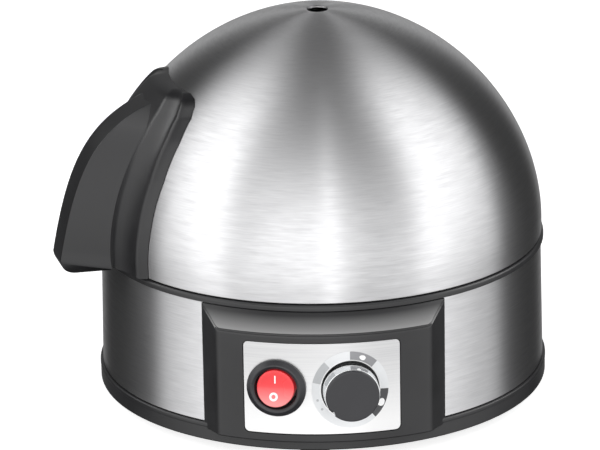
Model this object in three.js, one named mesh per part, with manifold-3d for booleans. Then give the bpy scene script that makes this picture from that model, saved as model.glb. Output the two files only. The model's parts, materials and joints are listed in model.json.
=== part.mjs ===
// Electric egg cooker, in millimetres, +Z up.
// The origin is on the cooker's axis, on the flat pad in the middle of its underside.
// The control housing faces -Y and the lid's handle points left of it.
import * as THREE from 'three';
import { mergeVertices } from 'three/addons/utils/BufferGeometryUtils.js';
import Module from 'manifold-3d';

const wasm = await Module();
wasm.setup();

// ---- Driving dimensions ----

const CLEARANCE = 0.3; // between pieces that touch or nest
const SEGMENTS = 48; // sides of every large turned piece
const SMALL_SEGMENTS = 16; // sides of small turned pieces

// Base: its size is the band's upper radius and its height
const BAND_TOP_RADIUS = 87.5;
const BAND_HEIGHT = 48.7;
const RIM_RADIUS = BAND_TOP_RADIUS + 1.9;
const RIM_WALL = 1.8;
const RIM_HEIGHT = 7.2;
const FLOOR_THICKNESS = 2;
const PAD_RADIUS = 24;
const PAD_HEIGHT = 0.6;
const BAND_DRAFT = 0.8; // how much wider the band is at its lower edge
const BAND_SHEET = 0.6;
const BAND_GAP_ANGLE = 28.5; // half of the gap in the band behind the control housing
const SHELL_WALL = 2.2;
const RING_RADIUS = BAND_TOP_RADIUS + 1.1;
const RING_HEIGHT = 2.4; // the black ring that shows above the band
const WELL_INSET = 8.8; // from the band's upper edge to the well that takes the tray
const PLATE_LEDGE_DROP = 4.6;
const PLATE_LEDGE_WIDTH = 4.5;

// Feet and screws
const FOOT_RADIUS = 10.5;
const FOOT_HEIGHT = 5;
const FOOT_PITCH_RADIUS = BAND_TOP_RADIUS - 17.5;
const FOOT_ANGLES = [-3, 117, 237];
const FOOT_STEM_RADIUS = 2.6;
const COVER_SCREW_PITCH_RADIUS = BAND_TOP_RADIUS - 6.5;
const COVER_SCREW_ANGLES = [-40, 40, 140, 220];
const SCREW_RADIUS = 1.4;
const SCREW_HEAD_RADIUS = 2.9;
const BOSS_RADIUS = 4;
const BOSS_TOP = 36;
const BOSS_PILOT_TOP = 16;
const VENT_SLOT = [3, 22]; // width and length
const VENT_SLOT_START = 40;

// Heating plate and what hangs under it
const DISH_RADIUS = BAND_TOP_RADIUS - 18;
const DISH_DEPTH = 8.6;
const DISH_SHEET = 1.5;
const SEAL_THICKNESS = 1;
const ELEMENT_RADIUS = 46;
const ELEMENT_TUBE_RADIUS = 3.2;
const ELEMENT_ARC = 300;
const CLAMP_LENGTH = 104;
const CLAMP_WIDTH = 24;
const CLAMP_SCREW_OFFSET = 30;
const THERMOSTAT_RADIUS = 8;
const FUSE_OFFSET = 24;
const FUSE_RADIUS = 2.2;
const FUSE_LENGTH = 18;

// Control housing
const HOUSING_RADIUS = BAND_TOP_RADIUS + 6.2;
const HOUSING_WALL = 3.4;
const HOUSING_SIDE_WALL = 2.2;
const HOUSING_BOTTOM = 4.8;
const HOUSING_SLOPE_DROP = 7; // height of its sloped top
const HOUSING_SLOPE_INNER = BAND_TOP_RADIUS + 0.8;
const HOUSING_FOOT_ANGLE = 31.9; // half-angle where its sides land on the band
const HOUSING_FACE_ANGLE = 25.9; // half-angle of its front face
const HOUSING_CORNER = 4.5;
const HOUSING_SCREW_ANGLE = 23.5;
const HOUSING_SCREW_HEIGHT = 30;
const HOUSING_BOSS_RADIUS = 3.2;
const PLATE_ANGLE = -0.6; // from straight ahead
const PLATE_HALF_WIDTH = 29.8;
const PLATE_BOTTOM = 8.3;
const PLATE_TOP_DROP = 3.9; // from the foot of the housing's slope
const PLATE_CORNER = 2;
const PLATE_SHEET = 0.7;
const PLATE_POCKET = 1.2;
const PLATE_RECESS = 0.2;

// Rocker switch
const SWITCH_ANGLE = -11.3;
const SWITCH_RISE = 0.4; // above the middle of the plate
const BARREL_RADIUS = 10.1;
const BEZEL_RADIUS = BARREL_RADIUS + 1.4;
const BARREL_DEPTH = 22;
const SWITCH_OPENING = BARREL_RADIUS - 1.8;
const ROCKER_RADIUS = SWITCH_OPENING - 1.05;
const ROCKER_TILT = 10; // each way from level
const ROCKER_VALLEY = 3.2; // ahead of its pivot
const ROCKER_PIVOT_DEPTH = 0.9; // behind the plate's face
const TRUNNION_RADIUS = 1.1;
const TERMINAL_TAG = [4.8, 0.8, 7]; // width, thickness and length
const TERMINAL_PITCH = 6;

// Dial
const DIAL_ANGLE = 6.05;
const DIAL_RISE = -0.45; // above the middle of the plate
const DIAL_WINDOW = [11.3, 11.8]; // half-width and half-height of the hole in the plate
const DIAL_RADIUS = 10.3;
const DIAL_PROUD = 7.7;
const DIAL_CAP_THICKNESS = 1;
const DIAL_POINTER_ANGLE = 231; // clockwise from the top
const DIAL_POINTER_RADIUS = 2.3;
const SLEEVE_RADIUS = 10.85;
const SHAFT_RADIUS = 3;
const BUSH_RADIUS = 4.4;
const NUT_RADIUS = 7;
const NUT_THICKNESS = 2.2;
const CONTROL_SIZE = [22, 22, 11.5];

// Electronics
const BOARD_SIZE = [62, 38, 1.6];
const BOARD_CENTRE = [0, 10];
const BOARD_LEVEL = 9.5;
const BOARD_POST_RADIUS = 3;
const BOARD_SCREW_HOLE = 1.3;
const RELAY_SIZE = [15, 16, 15];
const BUZZER_RADIUS = 6;
const BUZZER_HEIGHT = 8;
const TERMINAL_BLOCK_SIZE = [22, 12, 15];
const TERMINAL_BLOCK_PLACE = 50; // behind the axis
const TERMINAL_ENTRY_RADIUS = 1.8;

// Egg tray
const TRAY_SHEET = 1.2;
const TRAY_RISE = 8.6;
const TRAY_RIM_INSET = 1.05; // its rim stands just inside the band's radius, within the lid
const TRAY_RIM_HEIGHT = 4.2;
const EGG_COUNT = 7;
const EGG_SEAT_RADIUS = 17.5;
const EGG_PITCH_RADIUS = BAND_TOP_RADIUS - 32.5;
const TRAY_HANDLE_HEIGHT = 26;
const TRAY_HANDLE_RADIUS = 12;

// Lid
const DOME_RADIUS = BAND_TOP_RADIUS + 0.35;
const DOME_SKIRT = 4.5; // straight part above the rim
const DOME_RISE = 86.45; // from the top of the skirt to the apex
const DOME_FULLNESS = 1.92; // 2 is an ellipse, more is squarer
const DOME_SHEET = 0.8;
const DOME_STEPS = 9;
const LID_SEAT = 0.5;
const STEAM_HOLE_RADIUS = 4.1;
const HANDLE_ANGLE = -75;
const HANDLE_WIDTH = 14;
const HANDLE_REACH = 19.4; // of its lower corner, past the dome
const HANDLE_HEIGHT = 64.5;
const SADDLE_THICKNESS = 2.5;
const SADDLE_SIDE = [[37.4, 0], [37, 20], [35.4, 38], [32, 52.5], [28.6, 60.5], [22.5, 66], [18, 67]];
const HANDLE_SCREW_HEIGHTS = [18, 44]; // above the lid's edge
const HANDLE_SCREW_REACH = 10; // past the inside of the dome

// Cord gland
const GLAND_HEIGHT = 20;
const GLAND_BORE = 3.5;
const GLAND_RADIUS = 6;
const GLAND_FLANGE_RADIUS = 8.5;

// ---- Levels and radii that follow ----

const BAND_BOTTOM = RIM_HEIGHT + CLEARANCE;
const BAND_TOP = BAND_BOTTOM + BAND_HEIGHT;
const RING_BOTTOM = BAND_TOP + CLEARANCE;
const RING_TOP = RING_BOTTOM + RING_HEIGHT;
const WELL_RADIUS = BAND_TOP_RADIUS - WELL_INSET;
const PLATE_LEDGE = RING_TOP - PLATE_LEDGE_DROP;
const PLATE_LEDGE_INNER = WELL_RADIUS - PLATE_LEDGE_WIDTH;
const FLOOR_TOP = PAD_HEIGHT + FLOOR_THICKNESS;
const DISH_FLANGE = PLATE_LEDGE + SEAL_THICKNESS + 2 * CLEARANCE;
const DISH_TOP_RADIUS = PLATE_LEDGE_INNER - CLEARANCE;
const DISH_FLOOR = DISH_FLANGE + TRAY_SHEET - DISH_DEPTH;
const DISH_UNDERSIDE = DISH_FLOOR - DISH_SHEET;
const ELEMENT_LEVEL = DISH_UNDERSIDE - CLEARANCE - ELEMENT_TUBE_RADIUS;
const CLAMP_TOP = ELEMENT_LEVEL - ELEMENT_TUBE_RADIUS - CLEARANCE;
const CLAMP_BOTTOM = CLAMP_TOP - 1.5;
const HOUSING_TOP = BAND_TOP;
const HOUSING_SLOPE_START = HOUSING_TOP - HOUSING_SLOPE_DROP;
const PLATE_TOP = HOUSING_SLOPE_START - PLATE_TOP_DROP;
const SWITCH_HEIGHT = (PLATE_BOTTOM + PLATE_TOP) / 2 + SWITCH_RISE;
const DIAL_HEIGHT = (PLATE_BOTTOM + PLATE_TOP) / 2 + DIAL_RISE;
const PLATE_FACE = HOUSING_RADIUS - PLATE_RECESS;
const POCKET_FLOOR = HOUSING_RADIUS - PLATE_POCKET;
const HOUSING_INNER = HOUSING_RADIUS - HOUSING_WALL;
const ROCKER_PIVOT = PLATE_FACE - ROCKER_PIVOT_DEPTH;
const DIAL_FACE = PLATE_FACE + DIAL_PROUD;
const NUT_BACK = POCKET_FLOOR + CLEARANCE;
const NUT_FRONT = NUT_BACK + NUT_THICKNESS;
const TRAY_SEAT = RING_TOP + CLEARANCE;
const TRAY_TOP = TRAY_SEAT + TRAY_SHEET + TRAY_RISE;
const TRAY_WALL = WELL_RADIUS - CLEARANCE;
const TRAY_RIM_RADIUS = BAND_TOP_RADIUS - TRAY_RIM_INSET;
const LID_BOTTOM = RING_TOP + LID_SEAT;
const DOME_SPRING = LID_BOTTOM + DOME_SKIRT;
const SHELL_INNER = BAND_TOP_RADIUS - BAND_SHEET - CLEARANCE - SHELL_WALL;

const rad = THREE.MathUtils.degToRad;
const bandRadius = (z) => BAND_TOP_RADIUS + BAND_DRAFT * (BAND_TOP - z) / BAND_HEIGHT;

// ---- Solid tools ----

// A three.js geometry as a closed solid: shared vertices, no empty triangles, faces out.
function toSolid(geometry) {
  const bare = geometry.clone();
  bare.deleteAttribute('normal');
  bare.deleteAttribute('uv');
  const merged = mergeVertices(bare, 1e-4);
  const place = merged.getAttribute('position').array;
  const index = merged.getIndex().array;
  const triangles = [];
  for (let i = 0; i < index.length; i += 3) {
    const [a, b, c] = [index[i], index[i + 1], index[i + 2]];
    if (a !== b && b !== c && c !== a) triangles.push(a, b, c);
  }
  if (signedVolume(place, triangles) < 0) {
    triangles.reverse();
  }
  const vertProperties = Float32Array.from(place);
  const triVerts = Uint32Array.from(triangles);
  return new wasm.Manifold(new wasm.Mesh({ numProp: 3, vertProperties, triVerts }));
}

function signedVolume(place, triangles) {
  const corner = (i) => new THREE.Vector3().fromArray(place, 3 * triangles[i]);
  let volume = 0;
  for (let i = 0; i < triangles.length; i += 3) {
    volume += corner(i).dot(corner(i + 1).cross(corner(i + 2))) / 6;
  }
  return volume;
}

function toGeometry(solid) {
  const mesh = solid.getMesh();
  const geometry = new THREE.BufferGeometry();
  geometry.setAttribute('position', new THREE.BufferAttribute(mesh.vertProperties, 3));
  geometry.setIndex(new THREE.BufferAttribute(mesh.triVerts, 1));
  return geometry;
}

const combine = (how) => (first, ...others) => toGeometry(
  others.reduce((solid, other) => solid[how](toSolid(other)), toSolid(first)));
const join = combine('add');
const cut = combine('subtract');
const common = combine('intersect');

// A turned piece about +Z from a closed outline of [radius, height] points.
function turn(points, segments = SEGMENTS) {
  const outline = [...points, points[0]].map(([r, z]) => new THREE.Vector2(r, z));
  return new THREE.LatheGeometry(outline, segments).rotateX(Math.PI / 2);
}

// A round bar along +Z from z0 to z1.
function rod(radius, z0, z1, segments = SMALL_SEGMENTS) {
  return turn([[0, z0], [radius, z0], [radius, z1], [0, z1]], segments);
}

// A round tube along +Z from z0 to z1.
function pipe(inner, outer, z0, z1, segments = SMALL_SEGMENTS) {
  return turn([[inner, z0], [outer, z0], [outer, z1], [inner, z1]], segments);
}

function block(x0, x1, y0, y1, z0, z1) {
  return new THREE.BoxGeometry(x1 - x0, y1 - y0, z1 - z0)
    .translate((x0 + x1) / 2, (y0 + y1) / 2, (z0 + z1) / 2);
}

// An outline in X and Y raised from z0 to z1.
function raise(shape, z0, z1, curveSegments = 8) {
  const options = { depth: z1 - z0, bevelEnabled: false, curveSegments };
  return new THREE.ExtrudeGeometry(shape, options).translate(0, 0, z0);
}

function polygon(points) {
  return new THREE.Shape(points.map(([x, y]) => new THREE.Vector2(x, y)));
}

function roundedRectangle(x0, x1, y0, y1, radius) {
  const shape = new THREE.Shape();
  shape.absarc(x1 - radius, y0 + radius, radius, -Math.PI / 2, 0);
  shape.absarc(x1 - radius, y1 - radius, radius, 0, Math.PI / 2);
  shape.absarc(x0 + radius, y1 - radius, radius, Math.PI / 2, Math.PI);
  shape.absarc(x0 + radius, y0 + radius, radius, Math.PI, 1.5 * Math.PI);
  return shape;
}

// Turns a piece made along +Z so that it points away from the cooker's axis, along -Y.
const faceOut = (geometry) => geometry.rotateX(Math.PI / 2);

// The direction at an angle from the front, positive to the right.
const around = (angle, radius) => [radius * Math.sin(rad(angle)), -radius * Math.cos(rad(angle))];

// ---- Scene graph ----

const cooker = new THREE.Group();

const MATERIALS = {
  steel: { color: 0xb9bbbc, roughness: 0.3, metalness: 1 },
  aluminium: { color: 0xd8dadb, roughness: 0.35, metalness: 1 },
  chrome: { color: 0xe4e6e8, roughness: 0.12, metalness: 1 },
  blackPlastic: { color: 0x26272a, roughness: 0.45, metalness: 0 },
  rubber: { color: 0x1c1c1d, roughness: 0.85, metalness: 0 },
  redLens: { color: 0xd8282e, roughness: 0.2, metalness: 0 },
  brass: { color: 0xb8923f, roughness: 0.35, metalness: 1 },
  board: { color: 0x2c6b3c, roughness: 0.6, metalness: 0 },
  silicone: { color: 0x8d8f90, roughness: 0.7, metalness: 0 },
  ivoryPlastic: { color: 0xd9d6cb, roughness: 0.55, metalness: 0 },
};

// Adds one named piece to a group.
function add(group, name, geometry, material) {
  const settings = { ...MATERIALS[material], flatShading: true };
  const mesh = new THREE.Mesh(geometry, new THREE.MeshStandardMaterial(settings));
  mesh.name = name;
  group.add(mesh);
  return mesh;
}

// A group whose -Y points out of the cooker at an angle from the front.
function station(angle, height = 0) {
  const group = new THREE.Group();
  group.position.z = height;
  group.rotation.z = rad(angle);
  cooker.add(group);
  return group;
}

// A group moved out to a pitch radius and upright, for feet, bosses and screws.
function post(angle, radius) {
  const group = new THREE.Group();
  const [x, y] = around(angle, radius);
  group.position.set(x, y, 0);
  cooker.add(group);
  return group;
}

const shift = (geometry, angle, radius) => geometry.translate(...around(angle, radius), 0);

// A pan-head screw along +Z: its head from z0 down, its shank up to z1.
function screw(z0, z1, radius = SCREW_RADIUS, head = SCREW_HEAD_RADIUS) {
  const drop = 0.55 * head;
  const outline = [[0, z0 - drop], [0.7 * head, z0 - drop], [head, z0], [radius, z0], [radius, z1], [0, z1]];
  return turn(outline, 12);
}

// ---- Base: shell, band, cover and feet ----

// The hole for the switch and the dial control through the shell's front wall.
function controlWindow() {
  const half = PLATE_HALF_WIDTH - 0.9;
  return block(-half, half, -HOUSING_RADIUS, 6 - SHELL_INNER, PLATE_BOTTOM + 2.7, PLATE_TOP);
}

function baseShell() {
  const wallOuter = (z) => bandRadius(z) - BAND_SHEET - CLEARANCE;
  const bottom = FLOOR_TOP + 2 * CLEARANCE;
  const edge = 1.2;
  const outline = [
    [SHELL_INNER, bottom], [wallOuter(BAND_BOTTOM), bottom], [wallOuter(BAND_BOTTOM), BAND_BOTTOM],
    [wallOuter(BAND_TOP), RING_BOTTOM], [RING_RADIUS, RING_BOTTOM], [RING_RADIUS, RING_TOP - edge],
    [RING_RADIUS - edge, RING_TOP],
    [WELL_RADIUS, RING_TOP], [WELL_RADIUS, PLATE_LEDGE], [PLATE_LEDGE_INNER, PLATE_LEDGE],
    [PLATE_LEDGE_INNER, PLATE_LEDGE - SHELL_WALL], [SHELL_INNER, PLATE_LEDGE - 2 * SHELL_WALL],
  ];
  const bosses = COVER_SCREW_ANGLES.map((angle) => shift(
    rod(BOSS_RADIUS, bottom, BOSS_TOP, 16), angle, COVER_SCREW_PITCH_RADIUS));
  const pilots = COVER_SCREW_ANGLES.map((angle) => shift(
    rod(SCREW_RADIUS + CLEARANCE, 0, BOSS_PILOT_TOP, 12), angle, COVER_SCREW_PITCH_RADIUS));
  const panelHoles = [-1, 1].map((side) => panelScrewHole(side * HOUSING_SCREW_ANGLE));
  return cut(join(turn(outline), ...bosses), controlWindow(), ...pilots, ...panelHoles, glandHole());
}

function panelScrewHole(angle) {
  const hole = faceOut(rod(SCREW_RADIUS + CLEARANCE, SHELL_INNER - 6, HOUSING_INNER + 1, 12));
  return hole.rotateZ(rad(angle)).translate(0, 0, HOUSING_SCREW_HEIGHT);
}

function glandHole() {
  const hole = faceOut(rod(GLAND_RADIUS + CLEARANCE, SHELL_INNER - 6, RIM_RADIUS + 5));
  return hole.rotateZ(Math.PI).translate(0, 0, GLAND_HEIGHT);
}

function steelBand() {
  const outline = [
    [bandRadius(BAND_BOTTOM) - BAND_SHEET, BAND_BOTTOM], [bandRadius(BAND_BOTTOM), BAND_BOTTOM],
    [BAND_TOP_RADIUS, BAND_TOP], [BAND_TOP_RADIUS - BAND_SHEET, BAND_TOP],
  ];
  const reach = 2 * RIM_RADIUS;
  const gap = polygon([[0, 0], around(-BAND_GAP_ANGLE, reach), around(BAND_GAP_ANGLE, reach)]);
  return cut(turn(outline), raise(gap, 0, RING_TOP), glandHole());
}

function bottomCover() {
  const inner = RIM_RADIUS - RIM_WALL;
  const round = 1.4;
  const outline = [
    [0, 0], [PAD_RADIUS, 0], [PAD_RADIUS, PAD_HEIGHT], [RIM_RADIUS - 2 * round, PAD_HEIGHT],
    [RIM_RADIUS - round, 0], [RIM_RADIUS, round], [RIM_RADIUS, RIM_HEIGHT],
    [inner, RIM_HEIGHT], [inner, FLOOR_TOP], [0, FLOOR_TOP],
  ];
  const through = (radius) => rod(radius, -1, FLOOR_TOP + 1, 12);
  const feet = FOOT_ANGLES.map((angle) => shift(
    through(FOOT_STEM_RADIUS + CLEARANCE), angle, FOOT_PITCH_RADIUS));
  const screws = COVER_SCREW_ANGLES.map((angle) => shift(
    through(SCREW_RADIUS + CLEARANCE), angle, COVER_SCREW_PITCH_RADIUS));
  const posts = boardCorners().map(([x, y]) => (
    rod(BOARD_POST_RADIUS, FLOOR_TOP - 1, BOARD_LEVEL - CLEARANCE, 12).translate(x, y, 0)));
  const postHoles = boardCorners().map(([x, y]) => (
    rod(BOARD_SCREW_HOLE, FLOOR_TOP, BOARD_LEVEL, 12).translate(x, y, 0)));
  return cut(join(turn(outline), ...posts), ...feet, ...screws, ...postHoles, ...ventSlots());
}

function ventSlots() {
  const slots = [];
  for (let angle = -40; angle <= 40; angle += 20) {
    const [width, length] = VENT_SLOT;
    const slot = roundedRectangle(-width / 2, width / 2, VENT_SLOT_START, VENT_SLOT_START + length, 1.4);
    slots.push(raise(slot, -1, FLOOR_TOP + 1, 3).rotateZ(rad(angle)));
  }
  return slots;
}

function foot() {
  const top = PAD_HEIGHT - CLEARANCE;
  const bottom = PAD_HEIGHT - FOOT_HEIGHT - CLEARANCE;
  const cap = FLOOR_TOP + CLEARANCE;
  return turn([
    [0, bottom], [FOOT_RADIUS - 1.5, bottom], [FOOT_RADIUS, bottom + 1.5], [FOOT_RADIUS, top],
    [FOOT_STEM_RADIUS, top], [FOOT_STEM_RADIUS, cap], [FOOT_STEM_RADIUS + 0.9, cap],
    [FOOT_STEM_RADIUS - 0.6, cap + 2], [0, cap + 2],
  ], SMALL_SEGMENTS);
}

function buildBase() {
  add(cooker, 'base_shell', baseShell(), 'blackPlastic');
  add(cooker, 'steel_band', steelBand(), 'steel');
  add(cooker, 'bottom_cover', bottomCover(), 'blackPlastic');
  FOOT_ANGLES.forEach((angle, i) => {
    add(post(angle, FOOT_PITCH_RADIUS), `base_foot_${i + 1}`, foot(), 'rubber');
  });
  COVER_SCREW_ANGLES.forEach((angle, i) => {
    const group = post(angle, COVER_SCREW_PITCH_RADIUS);
    add(group, `cover_screw_${i + 1}`, screw(PAD_HEIGHT - CLEARANCE, 14), 'steel');
  });
}

// ---- Heating plate, element and safety parts ----

function heatingPlate() {
  const flangeTop = DISH_FLANGE + TRAY_SHEET;
  const flangeRadius = WELL_RADIUS - 2 * CLEARANCE;
  const outline = [
    [0, DISH_UNDERSIDE], [DISH_RADIUS, DISH_UNDERSIDE], [DISH_RADIUS + DISH_SHEET, DISH_UNDERSIDE + 1],
    [DISH_TOP_RADIUS, DISH_FLANGE], [flangeRadius, DISH_FLANGE], [flangeRadius, flangeTop],
    [DISH_TOP_RADIUS - 0.7, flangeTop], [DISH_RADIUS + 0.5, DISH_FLOOR + 0.6],
    [DISH_RADIUS - 0.6, DISH_FLOOR], [0, DISH_FLOOR],
  ];
  const studs = [-1, 1].map((side) => pipe(SCREW_RADIUS + CLEARANCE, 3.4,
    CLAMP_TOP + 2, DISH_UNDERSIDE + 0.5, 12).translate(side * CLAMP_SCREW_OFFSET, 0, 0));
  return join(turn(outline), ...studs);
}

function plateSeal() {
  const bottom = PLATE_LEDGE + CLEARANCE;
  return pipe(PLATE_LEDGE_INNER + CLEARANCE, WELL_RADIUS - CLEARANCE,
    bottom, bottom + SEAL_THICKNESS, SEGMENTS);
}

// The element runs nearly round under the dish, and both its ends turn down.
function elementPath() {
  const steps = 24;
  const points = [];
  const start = (360 - ELEMENT_ARC) / 2;
  const ring = (angle, level) => new THREE.Vector3(
    ELEMENT_RADIUS * Math.sin(rad(angle)), ELEMENT_RADIUS * Math.cos(rad(angle)), level);
  points.push(ring(start - 14, ELEMENT_LEVEL - 12), ring(start - 11, ELEMENT_LEVEL - 6));
  for (let i = 0; i <= steps; i += 1) {
    points.push(ring(start + ELEMENT_ARC * i / steps, ELEMENT_LEVEL));
  }
  points.push(ring(11 - start, ELEMENT_LEVEL - 6), ring(14 - start, ELEMENT_LEVEL - 12));
  return points;
}

// A round bar along a smooth path.
function tube(points, radius, steps, sides) {
  const section = new THREE.Shape().absarc(0, 0, radius, 0, 2 * Math.PI);
  const extrudePath = new THREE.CatmullRomCurve3(points);
  const options = { steps, curveSegments: sides / 2, bevelEnabled: false, extrudePath };
  return new THREE.ExtrudeGeometry(section, options);
}

function buildHeater() {
  add(cooker, 'heating_plate', heatingPlate(), 'aluminium');
  add(cooker, 'plate_seal', plateSeal(), 'silicone');
  add(cooker, 'heating_element', tube(elementPath(), ELEMENT_TUBE_RADIUS, 36, 8), 'steel');
  const [length, width] = [CLAMP_LENGTH / 2, CLAMP_WIDTH / 2];
  const bar = block(-length, length, -width, width, CLAMP_BOTTOM, CLAMP_TOP);
  const holes = [-1, 1].map((side) => rod(SCREW_RADIUS + CLEARANCE, 0, DISH_UNDERSIDE, 12)
    .translate(side * CLAMP_SCREW_OFFSET, 0, 0));
  const seat = rod(THERMOSTAT_RADIUS + CLEARANCE, 0, DISH_UNDERSIDE);
  add(cooker, 'element_clamp', cut(bar, seat, ...holes), 'steel');
  [-1, 1].forEach((side, i) => {
    const shape = screw(CLAMP_BOTTOM - CLEARANCE, DISH_UNDERSIDE - 1);
    const piece = add(cooker, `clamp_screw_${i + 1}`, shape, 'steel');
    piece.position.x = side * CLAMP_SCREW_OFFSET;
  });
  add(cooker, 'thermostat', thermostat(), 'steel');
  add(cooker, 'thermal_fuse', thermalFuse(), 'ivoryPlastic');
  add(cooker, 'fuse_clip', fuseClip(), 'steel');
}

function thermostat() {
  const top = DISH_UNDERSIDE - CLEARANCE;
  const can = turn([[0, top - 10], [6, top - 10], [6, top - 4], [THERMOSTAT_RADIUS, top - 4],
    [THERMOSTAT_RADIUS, top], [0, top]], SMALL_SEGMENTS);
  const tags = [-1, 1].map((side) => block(side * 3 - 0.4, side * 3 + 0.4, -2.5, 2.5, top - 17, top - 9));
  return join(can, ...tags);
}

function thermalFuse() {
  const level = DISH_UNDERSIDE - CLEARANCE - FUSE_RADIUS;
  const fuse = rod(FUSE_RADIUS, -FUSE_LENGTH / 2, FUSE_LENGTH / 2, 12);
  return fuse.rotateY(Math.PI / 2).translate(0, FUSE_OFFSET, level);
}

// A strap under the fuse with a foot that lies against the clamp bar's level.
function fuseClip() {
  const level = DISH_UNDERSIDE - CLEARANCE - FUSE_RADIUS;
  const inner = FUSE_RADIUS + CLEARANCE;
  const strap = pipe(inner, inner + 0.8, -4, 4, 16).rotateY(Math.PI / 2);
  const open = block(-5, 5, -inner - 2, inner + 2, 1, inner + 2);
  return cut(strap, open).translate(0, FUSE_OFFSET, level);
}

// ---- Control housing and plate ----

// One side of the housing from above: where it lands on the band, its direction and the way in.
function housingSide(offset) {
  const root = new THREE.Vector2(...around(HOUSING_FOOT_ANGLE, bandRadius(BAND_BOTTOM)));
  const face = new THREE.Vector2(...around(HOUSING_FACE_ANGLE, HOUSING_RADIUS));
  const along = face.sub(root).normalize();
  const inward = new THREE.Vector2(along.y, -along.x);
  if (inward.dot(root) > 0) inward.negate();
  return { root: root.addScaledVector(inward, offset), along, inward };
}

// The centre of the corner that joins that side to the front.
function cornerCentre({ root, along, inward }, front, corner) {
  const start = root.clone().addScaledVector(inward, corner);
  const b = start.dot(along);
  const reach = -b + Math.sqrt(b * b - start.lengthSq() + (front - corner) ** 2);
  return start.addScaledVector(along, reach);
}

// The housing seen from above: tapered sides, rounded corners and a front about the axis.
function housingPlan(offset, depth) {
  const front = HOUSING_RADIUS - depth;
  const corner = HOUSING_CORNER - Math.min(offset, HOUSING_CORNER - 1);
  const side = housingSide(offset);
  const centre = cornerCentre(side, front, corner);
  const sideways = Math.atan2(-side.inward.y, -side.inward.x);
  const outward = Math.atan2(centre.y, centre.x);
  const half = [side.root.clone().addScaledVector(side.along, -14)];
  for (let i = 0; i <= 4; i += 1) {
    const angle = sideways + (outward - sideways) * i / 4;
    half.push(new THREE.Vector2(Math.cos(angle), Math.sin(angle)).multiplyScalar(corner).add(centre));
  }
  const end = THREE.MathUtils.radToDeg(Math.atan2(centre.x, -centre.y));
  for (let i = 1; i < 6; i += 1) {
    half.push(new THREE.Vector2(...around(end * (1 - i / 6), front)));
  }
  const mirrored = half.map((p) => new THREE.Vector2(-p.x, p.y)).reverse();
  return new THREE.Shape([...half, new THREE.Vector2(0, -front), ...mirrored]);
}

// Everything above the housing's sloped top, moved down by an offset.
function housingSlope(offset) {
  const wide = HOUSING_RADIUS + 10;
  const slope = HOUSING_SLOPE_DROP / (HOUSING_RADIUS - HOUSING_SLOPE_INNER);
  const start = HOUSING_SLOPE_START - offset;
  return turn([
    [0, HOUSING_TOP - offset], [HOUSING_SLOPE_INNER, HOUSING_TOP - offset],
    [wide, start - slope * (wide - HOUSING_RADIUS)], [wide, HOUSING_TOP + 5], [0, HOUSING_TOP + 5],
  ]);
}

function plateOutline(grow) {
  return roundedRectangle(-PLATE_HALF_WIDTH - grow, PLATE_HALF_WIDTH + grow,
    PLATE_BOTTOM - grow, PLATE_TOP + grow, PLATE_CORNER + grow);
}

// A curved sheet about the axis, trimmed to the plate's outline.
function plateSheet(inner, outer, grow) {
  const sheet = pipe(inner, outer, PLATE_BOTTOM - 2, PLATE_TOP + 2, SEGMENTS);
  const window = faceOut(raise(plateOutline(grow), SHELL_INNER - 10, HOUSING_RADIUS + 10, 3));
  return common(sheet, window.rotateZ(rad(PLATE_ANGLE)));
}

function switchHole() {
  const hole = faceOut(rod(BARREL_RADIUS + CLEARANCE, SHELL_INNER - 6, HOUSING_RADIUS + 5));
  return hole.rotateZ(rad(SWITCH_ANGLE)).translate(0, 0, SWITCH_HEIGHT);
}

function dialHole(halfWidth, halfHeight) {
  const hole = faceOut(rod(1, SHELL_INNER - 6, HOUSING_RADIUS + 5, 24).scale(halfWidth, halfHeight, 1));
  return hole.rotateZ(rad(DIAL_ANGLE)).translate(0, 0, DIAL_HEIGHT);
}

// The space taken by the band, the shell and the rim behind the housing.
function baseBehindHousing() {
  return turn([
    [0, 0], [RIM_RADIUS + CLEARANCE, 0], [RIM_RADIUS + CLEARANCE, BAND_BOTTOM],
    [bandRadius(BAND_BOTTOM) + CLEARANCE, BAND_BOTTOM + CLEARANCE],
    [BAND_TOP_RADIUS + CLEARANCE, HOUSING_TOP + 1], [0, HOUSING_TOP + 1],
  ]);
}

function panelHousing() {
  const outer = cut(raise(housingPlan(0, 0), HOUSING_BOTTOM, HOUSING_TOP), housingSlope(0));
  const room = cut(raise(housingPlan(HOUSING_SIDE_WALL, HOUSING_WALL), BAND_BOTTOM + 1, HOUSING_TOP),
    housingSlope(2 * HOUSING_SIDE_WALL));
  const boss = () => faceOut(rod(HOUSING_BOSS_RADIUS, SHELL_INNER - 4, HOUSING_INNER + 0.5, 12));
  const bosses = [-1, 1].map((side) => (
    boss().rotateZ(rad(side * HOUSING_SCREW_ANGLE)).translate(0, 0, HOUSING_SCREW_HEIGHT)));
  const pilots = [-1, 1].map((side) => panelScrewHole(side * HOUSING_SCREW_ANGLE));
  const pocket = plateSheet(POCKET_FLOOR, HOUSING_RADIUS + 3, CLEARANCE);
  const bush = BUSH_RADIUS + CLEARANCE;
  return cut(join(cut(outer, room), ...bosses), baseBehindHousing(), pocket, switchHole(),
    dialHole(bush, bush), ...pilots);
}

function buildHousing() {
  add(cooker, 'panel_housing', panelHousing(), 'blackPlastic');
  const plate = plateSheet(PLATE_FACE - PLATE_SHEET, PLATE_FACE, 0);
  add(cooker, 'panel_plate', cut(plate, switchHole(), dialHole(...DIAL_WINDOW)), 'aluminium');
  [-1, 1].forEach((side, i) => {
    const group = station(side * HOUSING_SCREW_ANGLE, HOUSING_SCREW_HEIGHT);
    add(group, `panel_screw_${i + 1}`, faceOut(screw(SHELL_INNER - 1.2, HOUSING_INNER)), 'steel');
  });
}

// ---- Rocker switch ----

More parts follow.
